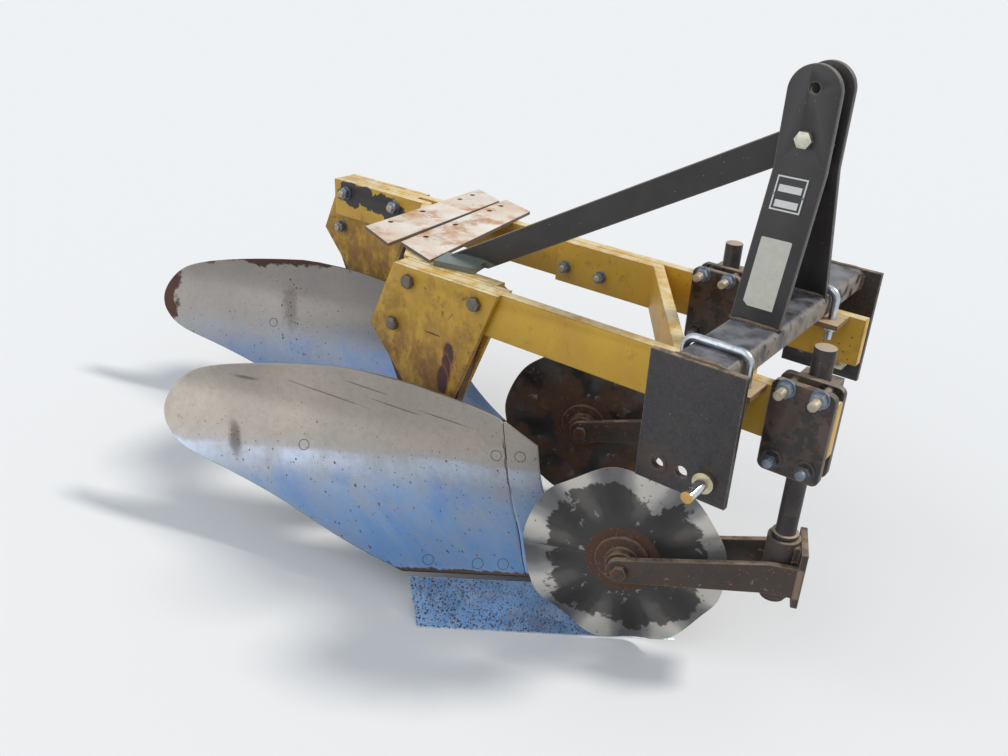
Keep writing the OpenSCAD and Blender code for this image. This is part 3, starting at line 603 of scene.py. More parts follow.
def clampSteel():
    # smears of black grease over brown
    f = Finish("clampSteel", (0.075, 0.052, 0.040), 0.5)
    f.tint(14, 0.7, 1.35)
    f.cover(f.mask("patches", Scale=24, Cover=0.46, Softness=0.03), (0.014, 0.012, 0.011), 0.35, strength=0.9)
    f.cover(f.mask("patches", Scale=52, Cover=0.22, Softness=0.09), rust["brown"], 0.85, strength=0.7)
    f.cover(f.mask("scratches", Along=20, Across=240, Cover=0.12), (0.20, 0.15, 0.11), 0.6, strength=0.6)
    f.dust(0.55, (0.52, 0.42, 0.31), 30)
    f.cover(f.mask("edgeWear", Width=0.004, Amount=0.6, Break=80), (0.34, 0.26, 0.18), 0.6, strength=0.7)
    f.lift(f.cloud(480, 4), 0.3)
    return f.done(0.45)


def shankSteel():
    f = Finish("shankSteel", (0.034, 0.029, 0.028), 0.36, 0.35)
    f.tint(22, 0.7, 1.4)
    f.cover(f.mask("patches", Scale=40, Cover=0.30, Softness=0.10), (0.075, 0.045, 0.032), 0.7, 0.0, strength=0.7)
    f.cover(f.mask("specks", Scale=200, Size=0.2, Share=0.3), (0.30, 0.25, 0.20), 0.8, 0.0, strength=0.5)
    f.cover(f.mask("facing", Low=0.8, High=0.95), (0.50, 0.39, 0.28), 0.75, 0.0, strength=0.9)
    f.lift(f.cloud(420, 4), 0.3)
    return f.done(0.45)


# Each tone on the near board, then on the far one; the last two are the same on both. The steel blue tones are a
# painted reflection of a blue sky on the polished steel, not its own colour
boardToneAndSkyReflection = {"grey": [(0.40, 0.355, 0.305), (0.27, 0.25, 0.235)],
             "steel": [(0.36, 0.41, 0.49), (0.22, 0.25, 0.30)],
             "blue": [(0.125, 0.225, 0.385), (0.14, 0.195, 0.30)],
             "deepSkyReflection": [(0.075, 0.200, 0.430), (0.10, 0.17, 0.29)],
             "stain": (0.085, 0.052, 0.042), "oldRust": (0.085, 0.036, 0.024)}
# Marks in metres: run back from the shin's edge, height, half the length and half the height
stains = [(0.726, 0.225, 0.013, 0.030, 0.35), (0.700, 0.355, 0.030, 0.0035, 0.25)]  # and how ragged
gouges = [(0.495, 0.352, 0.085, 0.0016), (0.325, 0.350, 0.055, 0.0016), (0.212, 0.343, 0.055, 0.0016),
          (0.40, 0.385, 0.05, 0.0016)]
gougeSlope = 0.16
seamBack = 0.0832  # metres back from the shin's edge


def boardColourAndSkyReflection(f, line, far):
    # warm grey above, then a painted sky reflection in steel blue that deepens down to the share
    f.cover(f.ramp(line, 0.292, 0.240), boardToneAndSkyReflection["steel"][far], strength=0.6)
    f.cover(f.ramp(line, 0.262, 0.170), boardToneAndSkyReflection["blue"][far], 0.36, 0.85, strength=0.9)
    f.cover(f.ramp(line, 0.190, 0.085), boardToneAndSkyReflection["deepSkyReflection"][far], strength=0.8)
    if not far:
        # a painted highlight: a pale band just below the line
        gleam = f.both(f.ramp(line, 0.262, 0.252), f.ramp(line, 0.205, 0.245))
        uneven = f.ramp(f.cloud(6, 4, 0.6, (1.0, 0.4, 1.0)), 0.36, 0.60)
        f.cover(f.both(gleam, uneven), (0.48, 0.58, 0.76), 0.3, 0.9, strength=0.6)
    f.cover(f.mask("patches", Scale=5, Cover=0.40, Softness=0.20), (0.23, 0.225, 0.225), 0.46, strength=0.35)
    # paler and deeper patches mottle the painted sky reflection
    blue = f.ramp(line, 0.25, 0.20)
    pale = f.both(blue, f.mask("patches", Scale=13, Cover=0.34, Softness=0.12))
    f.cover(pale, (0.24, 0.29, 0.36), 0.5, strength=0.28)
    deepSkyReflection = f.both(blue, f.mask("patches", Scale=9, Cover=0.34, Softness=0.14))
    f.cover(deepSkyReflection, (0.055, 0.165, 0.41), 0.34, strength=0.6)


def boardScuffs(f, line):
    # scratches along the soil's path, and rusty pits that grow dense toward the share
    f.cover(f.mask("patches", Scale=16, Cover=0.26, Softness=0.16), (0.30, 0.25, 0.20), 0.55, strength=0.35)
    f.cover(f.mask("scratches", Along=3, Across=240, Cover=0.30), (0.60, 0.60, 0.62), 0.40, strength=0.26)
    f.cover(f.mask("patches", Scale=70, Cover=0.34, Softness=0.20), (0.20, 0.18, 0.165), 0.5, strength=0.22)
    f.cover(f.mask("specks", Scale=260, Size=0.22, Share=0.40), (0.11, 0.085, 0.070), 0.7, 0.2, strength=0.40)
    f.cover(f.mask("scratches", Along=5, Across=520, Cover=0.24), (0.10, 0.095, 0.10), 0.44, strength=0.42)
    f.cover(f.mask("scratches", Along=2.2, Across=34, Cover=0.16), (0.17, 0.15, 0.14), 0.42, strength=0.28)
    low = f.ramp(line, 0.38, 0.20)
    dots = f.mask("specks", Scale=120, Size=0.17, Share=0.46)
    f.cover(f.both(dots, sums(f.tree, "MULTIPLY_ADD", low, 0.80, 0.30)), (0.060, 0.030, 0.022), 0.8, 0.0)
    pits = f.mask("specks", Scale=52, Size=0.12, Share=0.34)
    f.cover(f.both(pits, sums(f.tree, "MULTIPLY_ADD", low, 0.9, 0.25)), (0.13, 0.055, 0.028), 0.85, 0.0)
    f.cover(f.mask("specks", Scale=210, Size=0.2, Share=0.12), (0.62, 0.63, 0.66), 0.4, strength=0.2)


def nearMarks(f, parts):
    # two stains, and long gouges that slope with the soil's path
    for s, z, long, tall, ragged in stains:
        stain = f.mask("blot", Centre=(s, z, 0.0), Radii=(long, tall, 0.2), Ragged=ragged, Soft=0.55)
        f.cover(stain, boardToneAndSkyReflection["stain"], 0.7, 0.2, strength=0.55)
    slope = vectorSums(f.tree, "MULTIPLY", parts["X"], (0.0, gougeSlope, 0.0))
    bent = vectorSums(f.tree, "SUBTRACT", f.where, slope)
    for s, z, long, tall in gouges:
        gouge = f.mask("blot", Vector=bent, Centre=(s, z - gougeSlope * s, 0.0), Radii=(long, tall, 0.2),
                       Ragged=0.28, Soft=0.4)
        f.cover(gouge, (0.085, 0.072, 0.066), 0.6, 0.3, strength=0.65)


def farMarks(f):
    # a stain, and a tall column of rusty specks below it
    side = board["stagger"] / 1000
    stain = f.mask("blot", Centre=(0.500, 0.285, side), Radii=(0.020, 0.055, 0.2), Ragged=0.50, Soft=0.55)
    f.cover(stain, boardToneAndSkyReflection["stain"], 0.7, 0.2, strength=0.30)
    column = f.mask("blot", Centre=(0.505, 0.250, side), Radii=(0.045, 0.150, 0.2), Ragged=0.5, Soft=0.5)
    rusty = f.both(column, f.mask("specks", Scale=95, Size=0.24, Share=0.60))
    f.cover(rusty, boardToneAndSkyReflection["oldRust"], 0.85, 0.0)


def boardRings(f, shift):
    # the countersunk heads show as thin rings, ground flush with the board
    solid = put(f.tree, "ShaderNodeTexCoord").outputs["Object"]
    for x, z in boardBolts:
        ring = f.mask("boltRing", Vector=solid, Centre=place(*(boardPoint(runBack(x, z), z) + shift)))
        f.cover(ring, (0.045, 0.032, 0.028), 0.8, 0.0, strength=0.85)
        f.lift(ring, -0.5)


def rustyRim(f, parts):
    # unscoured rust along the far board's top edge and round its tail
    rim = f.shaken(sums(f.tree, "MULTIPLY_ADD", parts["X"], 0.10, parts["Y"]), 0.10, 22)
    f.cover(f.ramp(rim, 0.448, 0.456), boardToneAndSkyReflection["oldRust"], 0.85, 0.0)
    tail = f.shaken(parts["X"], 0.11, 26)
    f.cover(f.ramp(tail, 0.862, 0.874), boardToneAndSkyReflection["oldRust"], 0.85, 0.0)


def seamRust(f, parts):
    # a short run of rust down the seam with the shin, and a line along the share's joint
    joint = sums(f.tree, "MULTIPLY_ADD", f.cloud(45), 0.014, parts["X"])
    height = f.both(f.ramp(parts["Y"], 0.19, 0.22), f.ramp(parts["Y"], 0.33, 0.30))
    beside = sums(f.tree, "ABSOLUTE", sums(f.tree, "SUBTRACT", joint, seamBack))
    f.cover(f.both(height, f.ramp(beside, 0.0024, 0.0014)), (0.070, 0.036, 0.026), 0.85, 0.0, strength=0.7)
    low = sums(f.tree, "MULTIPLY_ADD", f.cloud(70), 0.010, parts["Y"])
    f.cover(f.ramp(low, 0.0755, 0.0735), (0.075, 0.042, 0.030), 0.85, 0.0)


def boardSteelAndSkyReflection(name, far=False):
    # the flow attribute holds the run back from the shin's edge, the height and the side
    f = Finish(name, boardToneAndSkyReflection["grey"][far], 0.42, 0.72, "flow")
    parts = f.axes()
    f.tint(4, 0.86, 1.12)
    line = f.shaken(sums(f.tree, "MULTIPLY_ADD", parts["X"], 0.055, parts["Y"]), 0.05, 5)
    boardColourAndSkyReflection(f, line, far)
    boardScuffs(f, line)
    if far:
        farMarks(f)
        boardRings(f, Vector((board["stagger"], board["spacing"], 0)))
        rustyRim(f, parts)
    else:
        nearMarks(f, parts)
        boardRings(f, Vector())
    seamRust(f, parts)
    f.lift(f.mask("scratches", Along=5, Across=520, Cover=0.20), -0.15)
    f.lift(f.cloud(300, 3), 0.06)
    return f.done(0.3)


def shareSteelAndSkyReflection():
    # the blue base colour is a painted reflection of a blue sky on the share's steel
    f = Finish("shareSteelAndSkyReflection", (0.095, 0.185, 0.345), 0.42, 0.8)
    f.tint(12, 0.75, 1.25)
    f.cover(f.mask("patches", Scale=30, Cover=0.35, Softness=0.14), (0.22, 0.27, 0.35), 0.5, strength=0.5)
    f.cover(f.mask("specks", Scale=150, Size=0.36, Share=0.92), (0.040, 0.028, 0.030), 0.8, 0.0, strength=0.95)
    f.cover(f.mask("specks", Scale=250, Size=0.42, Share=0.92), (0.055, 0.046, 0.050), 0.8, 0.0, strength=0.85)
    f.cover(f.mask("patches", Scale=50, Cover=0.12, Softness=0.05), rust["light"], 0.85, 0.0, strength=0.8)
    f.cover(f.mask("edgeWear", Width=0.004, Amount=0.66, Break=60), (0.50, 0.50, 0.50), 0.4, 0.9, strength=0.6)
    f.lift(f.cloud(380, 4), 0.3)
    return f.done(0.45)


def spareSteel():
    f = Finish("spareSteel", (0.80, 0.75, 0.68), 0.5, 0.1)
    f.tint(7, 0.85, 1.08)
    f.cover(f.mask("patches", Scale=9, Cover=0.44, Softness=0.16), (0.68, 0.50, 0.34), 0.7, 0.0, strength=0.75)
    f.cover(f.mask("patches", Scale=17, Cover=0.36, Softness=0.09), (0.50, 0.235, 0.095), 0.8, 0.0, strength=0.85)
    f.cover(f.mask("scratches", Along=5, Across=70, Cover=0.22), (0.86, 0.82, 0.76), 0.6, strength=0.5)
    f.cover(f.mask("patches", Scale=60, Cover=0.08, Softness=0.03), (0.16, 0.07, 0.04), 0.8, 0.0)
    aside = sums(f.tree, "SUBTRACT", 1.0, f.mask("facing", Low=0.5, High=0.8))
    f.cover(aside, (0.060, 0.048, 0.042), 0.7, 0.0, strength=0.9)
    f.cover(f.mask("edgeWear", Width=0.003, Amount=0.6, Break=60), (0.46, 0.24, 0.11), 0.75, 0.0, strength=0.6)
    f.lift(f.cloud(420, 4), 0.22)
    return f.done(0.45)


def discSteel(name, rusty=False):
    # soil has polished the crests near the rim, and black paint still covers the middle; crests are also painted
    # lighter and troughs darker as painted light and shade of the flutes;
    # the flow attribute holds the way round, the radius and the side
    f = Finish(name, (0.15, 0.14, 0.13) if rusty else (0.27, 0.265, 0.26), 0.34, 0.55, "flow")
    parts = f.axes()
    crest = put(f.tree, "ShaderNodeAttribute", attribute_name="crest").outputs["Fac"]
    high = f.shaken(crest, 0.9, 26)
    # crests lighter and troughs darker: partly polish by soil, partly painted light and shade on the flutes
    f.cover(f.ramp(high, -0.15, 0.62), (0.17, 0.14, 0.12) if rusty else (0.58, 0.55, 0.50), 0.38)
    f.cover(f.ramp(high, -0.10, -0.75), (0.105, 0.103, 0.105), 0.42, strength=0.75)
    f.cover(f.mask("scratches", Along=14, Across=420, Cover=0.24), (0.12, 0.11, 0.11), 0.45, strength=0.4)
    f.cover(f.mask("specks", Scale=120, Size=0.22, Share=0.4), (0.10, 0.055, 0.030), 0.8, 0.0, strength=0.7)
    reach = f.shaken(parts["Y"], 0.075, 1, 7, 0.75, (70.0, 16.0, 1.0))  # spiky edge of the paint
    reach = f.shaken(sums(f.tree, "MULTIPLY_ADD", crest, 0.009, reach), 0.17, 9, 3)
    limit = 0.30 if rusty else 0.156
    coat = f.ramp(reach, limit + 0.003, limit - 0.004)
    f.cover(coat, (0.040, 0.036, 0.034), 0.40, 0.1)
    worn = f.both(coat, f.mask("patches", Scale=30, Cover=0.20, Softness=0.02))
    f.cover(worn, (0.36, 0.33, 0.29), 0.5, 0.3, strength=0.8)
    # painted shade and light along the flutes where the black paint covers them
    fluteShading = sums(f.tree, "SINE", sums(f.tree, "MULTIPLY", parts["X"], disc["waves"] / disc["unroll"]))
    fluteShading = f.shaken(fluteShading, 1.6, 30)
    shadedFluteZone = f.both(coat, f.ramp(parts["Y"], 0.080, 0.130))
    f.cover(f.both(shadedFluteZone, f.ramp(fluteShading, 0.1, 1.1)), (0.19, 0.175, 0.16), 0.40, 0.3, strength=0.55)
    f.cover(f.both(shadedFluteZone, f.ramp(fluteShading, -0.1, -1.1)), (0.012, 0.010, 0.010), 0.40, strength=0.7)
    if rusty:
        broad = f.mask("patches", Scale=14, Cover=0.50, Softness=0.06)
        f.cover(broad, (0.105, 0.055, 0.030), 0.85, 0.0, strength=0.9)
        dusty = f.both(broad, f.mask("patches", Scale=40, Cover=0.30, Softness=0.08))
        f.cover(dusty, (0.19, 0.11, 0.065), 0.9, 0.0, strength=0.6)
    else:
        spots = f.mask("patches", Scale=24, Cover=0.10, Softness=0.04)
        f.cover(spots, (0.22, 0.10, 0.040), 0.85, 0.0, strength=0.7)
    hubRing = f.ramp(sums(f.tree, "MULTIPLY_ADD", f.cloud(60), 0.012, parts["Y"]), 0.083, 0.078)
    f.cover(hubRing, (0.105, 0.048, 0.028), 0.85, 0.0, strength=0.85)
    f.cover(f.both(hubRing, f.mask("specks", Scale=150, Size=0.25, Share=0.4)), (0.26, 0.19, 0.13), 0.85, 0.0)
    f.lift(f.cloud(320, 4), 0.2)
    f.lift(coat, 0.3)
    return f.done(0.4)


def labelPaint(name, colour, speckle):
    f = Finish(name, colour, 0.5)
    f.tint(70, 0.92, 1.06)
    f.cover(f.mask("patches", Scale=60, Cover=0.10, Softness=0.05), (0.26, 0.23, 0.19), 0.7, strength=0.55)
    f.cover(f.mask("specks", Scale=260, Size=0.2, Share=speckle), (0.08, 0.07, 0.06), 0.7, strength=0.6)
    f.lift(f.cloud(160, 3), 0.3)
    return f.done(0.3)


# One finish for each slot, those that single kinds of node have instead, and those of the added pieces
finishes = {
    "black_paint": blackPaint("mastPaint").done(0.35), "yellow_paint": yellowPaint("beamPaint").done(0.4),
    "tan_paint": tanPaint(), "zinc_yellow": pinPlating(), "zinc": plating("zinc", (0.52, 0.57, 0.63)).done(0.4),
    "rusted_steel": rustyBlack("rustedSteel", (0.036, 0.026, 0.022), 0.62, 0.48),
    "worn_steel": boardSteelAndSkyReflection("boardSteelAndSkyReflection"), "share_steel": shareSteelAndSkyReflection(), "spare_steel": spareSteel(),
    "rusty_black": rustyBlack("yokeSteel", (0.040, 0.031, 0.027), 0.46, 0.22, 0.62),
    "disc_steel": discSteel("discSteel"),
}
special = {
    "crossbar": crossbarPaint(), "hitch_plate": hitchPaint(), "mast_brace": bracePaint(),
    "standard_plates": standardPaint(), "rear_tie": rearTiePaint(), "coulter_clamp": clampSteel(),
    "coulter_shank": shankSteel(),
    "mast_bolt": plating("creamZinc", (0.62, 0.60, 0.50), 0.12, 0.4).done(0.4),
}
bolts = {
    "brown": fastenerSteel("brownBolt", (0.17, 0.145, 0.115), 0.45, 0.30),
    "blue": fastenerSteel("blueBolt", (0.20, 0.235, 0.285), 0.75, 0.12),
    "dark": fastenerSteel("darkBolt", (0.080, 0.082, 0.088), 0.5, 0.28),
    "thread": fastenerSteel("threadSteel", (0.46, 0.40, 0.30), 0.5, 0.20),
    "weld": rustyBlack("weldBead", (0.050, 0.042, 0.038), 0.35, 0.22, 0.5),
}
farSide = {"board": boardSteelAndSkyReflection("farBoardSteelAndSkyReflection", True), "disc": discSteel("farDiscSteel", True)}
labels = {"white": labelPaint("plateWhite", (0.76, 0.75, 0.71), 0.08),
          "black": labelPaint("plateBlack", (0.022, 0.021, 0.022), 0.1),
          "cream": labelPaint("stickerCream", (0.61, 0.595, 0.50), 0.10)}
print("finishes ready:", sum(len(group) for group in (finishes, special, bolts, farSide, labels)))


# Angles in degrees, and the radii of rounded edges in metres
edges = {"level": 0.8, "sharp": 34, "bevelOver": 40, "merge": 0.00002, "plate": 0.0012, "yoke": 0.0010,
         "bolt": 0.0005}


def smoothGroup():
    tree = bpy.data.node_groups.new("smoothByEdge", "GeometryNodeTree")
    for direction in ("INPUT", "OUTPUT"):
        tree.interface.new_socket("Geometry", in_out=direction, socket_type="NodeSocketGeometry")
    take = put(tree, "NodeGroupInput").outputs[0]
    angle = put(tree, "GeometryNodeInputMeshEdgeAngle").outputs["Unsigned Angle"]
    limit = put(tree, "FunctionNodeCompare", {0: angle, 1: math.radians(edges["sharp"])}, data_type="FLOAT",
                operation="GREATER_THAN")
    soft = put(tree, "GeometryNodeSetShadeSmooth", {"Geometry": take})
    sharp = put(tree, "GeometryNodeSetShadeSmooth", {"Geometry": soft.outputs[0], "Selection": limit.outputs[0],
                                                     "Shade Smooth": False}, domain="EDGE")
    put(tree, "NodeGroupOutput", {0: sharp.outputs[0]})
    return tree


smoothTree = smoothGroup()


def roundEdges(obj, radius=0.0, flatten=False):
    if radius:
        weld = obj.modifiers.new("weld", "WELD")
        weld.merge_threshold = edges["merge"]
    if flatten:  # the CAD mesh has long triangles across flat faces
        flat = obj.modifiers.new("flat", "DECIMATE")
        flat.decimate_type = "DISSOLVE"
        flat.angle_limit = math.radians(edges["level"])
    if radius:
        bevel = obj.modifiers.new("round", "BEVEL")
        bevel.width = radius
        bevel.segments = 2
        bevel.limit_method = "ANGLE"
        bevel.angle_limit = math.radians(edges["bevelOver"])
        bevel.use_clamp_overlap = True
    soft = obj.modifiers.new("soft", "NODES")
    soft.node_group = smoothTree


class Shape:
    def __init__(self):
        self.points, self.faces, self.kinds = [], [], []

    def rings(self, rings, turn, kind=0, hollow=False):
        # loops of the same number of points, joined in turn, with a cap at both ends unless it is hollow
        start, n, k = len(self.points), len(rings[0]), len(rings)
        for ring in rings:
            self.points += [turn @ Vector(p) for p in ring]
        for j in range(k if hollow else k - 1):
            for i in range(n):
                a, b = start + j * n, start + (j + 1) % k * n
                self.faces.append((a + i, a + (i + 1) % n, b + (i + 1) % n, b + i))
        if not hollow:
            self.faces.append(tuple(start + i for i in reversed(range(n))))
            self.faces.append(tuple(start + (k - 1) * n + i for i in range(n)))
        self.kinds += [kind] * (len(self.faces) - len(self.kinds))

    def piece(self, name, body, slot, materials, radius=0.0):
        piece = newPiece(name, self.points, self.faces, body, materials[0])
        for material in materials[1:]:
            piece.data.materials.append(material)
        piece.data.polygons.foreach_set("material_index", self.kinds)
        roundEdges(piece, radius)
        return piece


def newPiece(name, points, faces, body, material, flow=None, crest=None):
    mesh = bpy.data.meshes.new(name)
    mesh.from_pydata([tuple(p) for p in points], [], faces)
    mesh.update()
    if flow:
        held = mesh.attributes.new("flow", "FLOAT_VECTOR", "POINT")
        held.data.foreach_set("vector", [c for f in flow for c in f])
    if crest:
        mesh.attributes.new("crest", "FLOAT", "POINT").data.foreach_set("value", crest)
    obj = bpy.data.objects.new(name, mesh)
    bpy.context.scene.collection.objects.link(obj)
    mesh.materials.append(material)
    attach(obj, body)
    return obj


# The nodes that keep their CAD shape
for row in frame["record"]["subparts"]:
    obj = frame["nodes"][row["node"]]
    kind = row["node"].removesuffix("_right").removesuffix("_left")
    obj.data.materials.clear()
    obj.data.materials.append(special.get(kind) or finishes[row["material_slot"]])
    roundEdges(obj, edges["plate"], True)
print("nodes dressed:", len(frame["nodes"]))


def curvedPlate(name, heights, runs, columns, shift, material, node):
    # a grid of points on the front face, then the same on the back, a plate's thickness behind it
    points, flow, faces = [], [], []
    for side in (0, 1):
        for z, (start, end) in zip(heights, runs):
            for j in range(columns + 1):
                s = start + (end - start) * j / columns
                points.append(place(*(boardPoint(s, z) + side * board["thick"] * boardNormal(s, z) + shift)))
                flow.append((s / 1000, z / 1000, side * 0.5 + shift.x / 1000))
    n, rows = columns + 1, len(heights)
    m = n * rows
    for i in range(rows - 1):
        for j in range(columns):
            a = i * n + j
            faces.append((a, a + 1, a + n + 1, a + n))
            faces.append((m + a, m + a + n, m + a + n + 1, m + a + 1))
    for j in range(columns):  # lower and upper edges
        faces.append((j, m + j, m + j + 1, j + 1))
        a = (rows - 1) * n + j
        faces.append((a, a + 1, m + a + 1, m + a))
    for i in range(rows - 1):  # edges at the start and end of each run
        a, b = i * n, i * n + columns
        faces.append((a, a + n, m + a + n, m + a))
        faces.append((b, m + b, m + b + n, b + n))
    piece = newPiece(name, points, faces, "frame", material, flow)
    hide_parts(node)
    roundEdges(piece, edges["plate"])


def boards():
    b = board
    low, square, rows = b["low"], b["shinSquare"], b["rows"]
    heights = [low + (b["top"] - low) * (1 - (1 - i / rows) ** b["crowding"]) for i in range(rows + 1)]
    runs = [(smooth(z, boardRuns, 1), smooth(z, boardRuns, 2)) for z in heights]
    lowRows, topRows = b["shinRows"], b["shinTopRows"]
    shinHeights = ([low + (square - low) * i / lowRows for i in range(lowRows + 1)]
                   + [square + (b["shinTop"] - square) * i / topRows for i in range(1, topRows + 1)])
    shinRuns = [(max(0, b["shinSlope"] * (z - square)), smooth(z, boardRuns, 1) - b["gap"]) for z in shinHeights]
    for side, shift, steel in (("right", Vector((0, 0, 0)), finishes["worn_steel"]),
                               ("left", Vector((b["stagger"], b["spacing"], 0)), farSide["board"])):
        curvedPlate("board_" + side, heights, runs, b["columns"], shift, steel, "moldboard_" + side)
        curvedPlate("shin_face_" + side, shinHeights, shinRuns, b["shinColumns"], shift, steel, "shin_" + side)


boards()
print("moldboards and shins built")


def coulterAngle(side):
    # the disc's centre, and the turn of its axle from the Y direction
    spin = next(j for j in frame["joints"] if j["name"] == "disc_spin_" + side)
    return Vector(spin["pos_m"]), math.atan2(-spin["axis"][0], spin["axis"][1])


def circle(r, z, n=48):
    return [(r * math.cos(2 * math.pi * i / n), r * math.sin(2 * math.pi * i / n), z) for i in range(n)]


def waveAt(r, a):
    # from nothing at the flat middle to one or minus one at the rim
    grown = max(0.0, (r - disc["flat"]) / (disc["diameter"] / 2 - disc["flat"])) ** disc["growth"]
    return grown * math.sin(disc["waves"] * a)


def wavyDisc(side, turn, material):
    rim, flat, middle, shoulder = disc["diameter"] / 2, disc["flat"], disc["middle"], disc["shoulder"]
    inner, outer = disc["innerRings"], disc["outerRings"]
    rings = ([middle + (flat - middle) * i / inner for i in range(inner + 1)]
             + [flat + (shoulder - flat) * i / outer for i in range(1, outer + 1)] + disc["lip"] + [rim])
    points, flow, crest, faces = [], [], [], []
    steps, k = disc["steps"], len(rings)
    apart = disc["sideApart"] if side == "left" else 0  # so that no two faces share their noise
    for sign in (-1, 1):
        for r in rings:
            thin = max(0.0, (r - disc["taper"]) / (rim - disc["taper"]))
            half = disc["thick"] / 2 - thin * (disc["thick"] - disc["edge"]) / 2
            for i in range(steps):
                a = 2 * math.pi * i / steps
                wave = waveAt(r, a)
                local = Vector((r * math.cos(a), disc["waveHeight"] / 2 * wave + sign * half, r * math.sin(a)))
                points.append(turn @ (local / 1000))
                flow.append((a * disc["unroll"], r / 1000, sign * disc["faceApart"] + apart))
                crest.append(sign * wave)
    m = k * steps
    for i in range(steps):
        p = (i + 1) % steps
        for j in range(k - 1):
            a, b = j * steps, (j + 1) * steps
            faces.append((a + i, a + p, b + p, b + i))
            faces.append((m + a + i, m + b + i, m + b + p, m + a + p))
        e = (k - 1) * steps
        faces.append((e + i, e + p, m + e + p, m + e + i))
        faces.append((i, m + i, m + p, p))
    piece = newPiece("wavy_disc_" + side, points, faces, "disc_" + side, material, flow, crest)
    roundEdges(piece)


def turnedHub(side, turn):
    # half a profile of radius and place along the axle, mirrored about the disc
    h, out, flange, t, cut, soft = (hub[k] for k in ("half", "out", "flange", "flangeHalf", "cut", "round"))
    half = ([(hub["bore"] / 2, h), (out - cut, h), (out, h - cut)] + [(out + a, t + b) for a, b in hub["fillet"]]
            + [(flange - soft, t), (flange, t - soft)])
    profile = [(r, -y) for r, y in half] + [(flange, 0)] + half[::-1]
    shape = Shape()
    alongAxle = turn @ Matrix.Rotation(-math.pi / 2, 4, "X") @ Matrix.Scale(0.001, 4)
    shape.rings([circle(r, y, hub["steps"]) for r, y in profile], alongAxle, hollow=True)
    piece = shape.piece("disc_hub_" + side, "disc_" + side, "rusty_black", [finishes["rusted_steel"]])
    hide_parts("coulter_disc_" + side)


for side in ("right", "left"):
    centre, angle = coulterAngle(side)
    turn = Matrix.Translation(centre) @ Matrix.Rotation(angle, 4, "Z")
    wavyDisc(side, turn, finishes["disc_steel"] if side == "right" else farSide["disc"])
    turnedHub(side, turn)
print("coulter discs built")

fastener = {
    "head": {"flats": 28.6, "height": 12, "washer": 0, "thread": 0, "beyond": 0},
    "nut": {"flats": 28.6, "height": 16, "washer": 17.5, "thread": 19, "beyond": 7},
    "tieNut": {"flats": 24, "height": 13, "washer": 15, "thread": 15.9, "beyond": 5},
    "clampNut": {"flats": 25.4, "height": 14, "washer": 17, "thread": 17.8, "beyond": 22},
    "tieHead": {"flats": 22, "height": 10, "washer": 0, "thread": 0, "beyond": 0},
    "lowNut": {"flats": 25.4, "height": 14, "washer": 18, "thread": 17.8, "beyond": 10},
}
washer = {"high": 2.9, "seat": 0.02, "cut": 0.7}
hexagon = {"face": 0.475, "cutFrom": 0.485, "cut": 0.6}  # two shares of the flats' width, and a slope
thread = {"pitch": 1.6, "root": 0.75, "crestAt": 0.35, "rootAt": 0.85, "start": 0.2, "point": 1.6, "sides": 32}
rng = random.Random(7)


def hexRing(flats, z, cut, n=48):
    # a hexagon whose corners drop below the top where the chamfer crosses them
    ring = []
    for i in range(n):
        a = 2 * math.pi * i / n
        r = flats / 2 / math.cos((a + math.pi / 6) % (math.pi / 3) - math.pi / 6)
        drop = cut * max(0.0, r - flats * hexagon["cutFrom"])
        ring.append((r * math.cos(a), r * math.sin(a), z - drop))
    return ring


def addFastener(shape, kind, at, outward, level=False):
    # level turns a corner to the X direction, as the solids' own heads have it
    f = fastener[kind]
    aim = Vector(outward).to_track_quat("Z", "Y").to_matrix().to_4x4()
    sideways = aim.inverted() @ Vector((1, 0, 0))
    turned = math.atan2(sideways.y, sideways.x) - math.pi / 6 if level else rng.uniform(0, math.pi / 3)
    tilt = Matrix.Rotation(turned, 4, "Z")
    turn = Matrix.Translation(place(*at)) @ aim @ tilt @ Matrix.Scale(0.001, 4)
    z = 0.0
    if f["washer"]:
        w, z, cut = f["washer"], washer["high"], washer["cut"]
        shape.rings([circle(w, washer["seat"]), circle(w, z - cut), circle(w - cut, z)], turn)
    flats, top = f["flats"], z + f["height"]
    face = circle(flats * hexagon["face"], top)
    shape.rings([hexRing(flats, z, 0), hexRing(flats, top, hexagon["cut"]), face], turn)
    if f["thread"]:
        r, n, turns = f["thread"] / 2, thread["sides"], max(2, int(f["beyond"] / thread["pitch"]))
        step = f["beyond"] / turns
        rings = [circle(r - thread["start"], top - 1, n)]
        for i in range(turns):  # a crest and a root for each turn
            for inward, at in ((0, "crestAt"), (thread["root"], "rootAt")):
                rings.append(circle(r - inward, top + (i + thread[at]) * step, n))
        shape.rings(rings + [circle(r - thread["point"], top + f["beyond"], n)], turn, 1)


# Thicknesses of what the bolts go through, and where they stand on each side
stack = {"beam": 25.4, "plate": 12.7, "tie": 25.4, "seat": 0.05}
standardBolts = [(-739, 620.2), (-552, 620.2), (-786, 508)]  # the first two hold the rear tie as well
clampBolts = {"apart": 59.0, "high": 661.2, "low": 523.6}
boltPlaces = {
    "right": {"beamY": -232.0, "aft": 0.0, "clampX": 152.0, "tieX": (-62, 18), "tieZ": 596, "steel": "brown"},
    "left": {"beamY": 174.4, "aft": -591.0, "clampX": -208.0, "tieX": (-590, -490), "tieZ": 590, "steel": "blue"},
}
near, back = (0, -1, 0), (0, 1, 0)


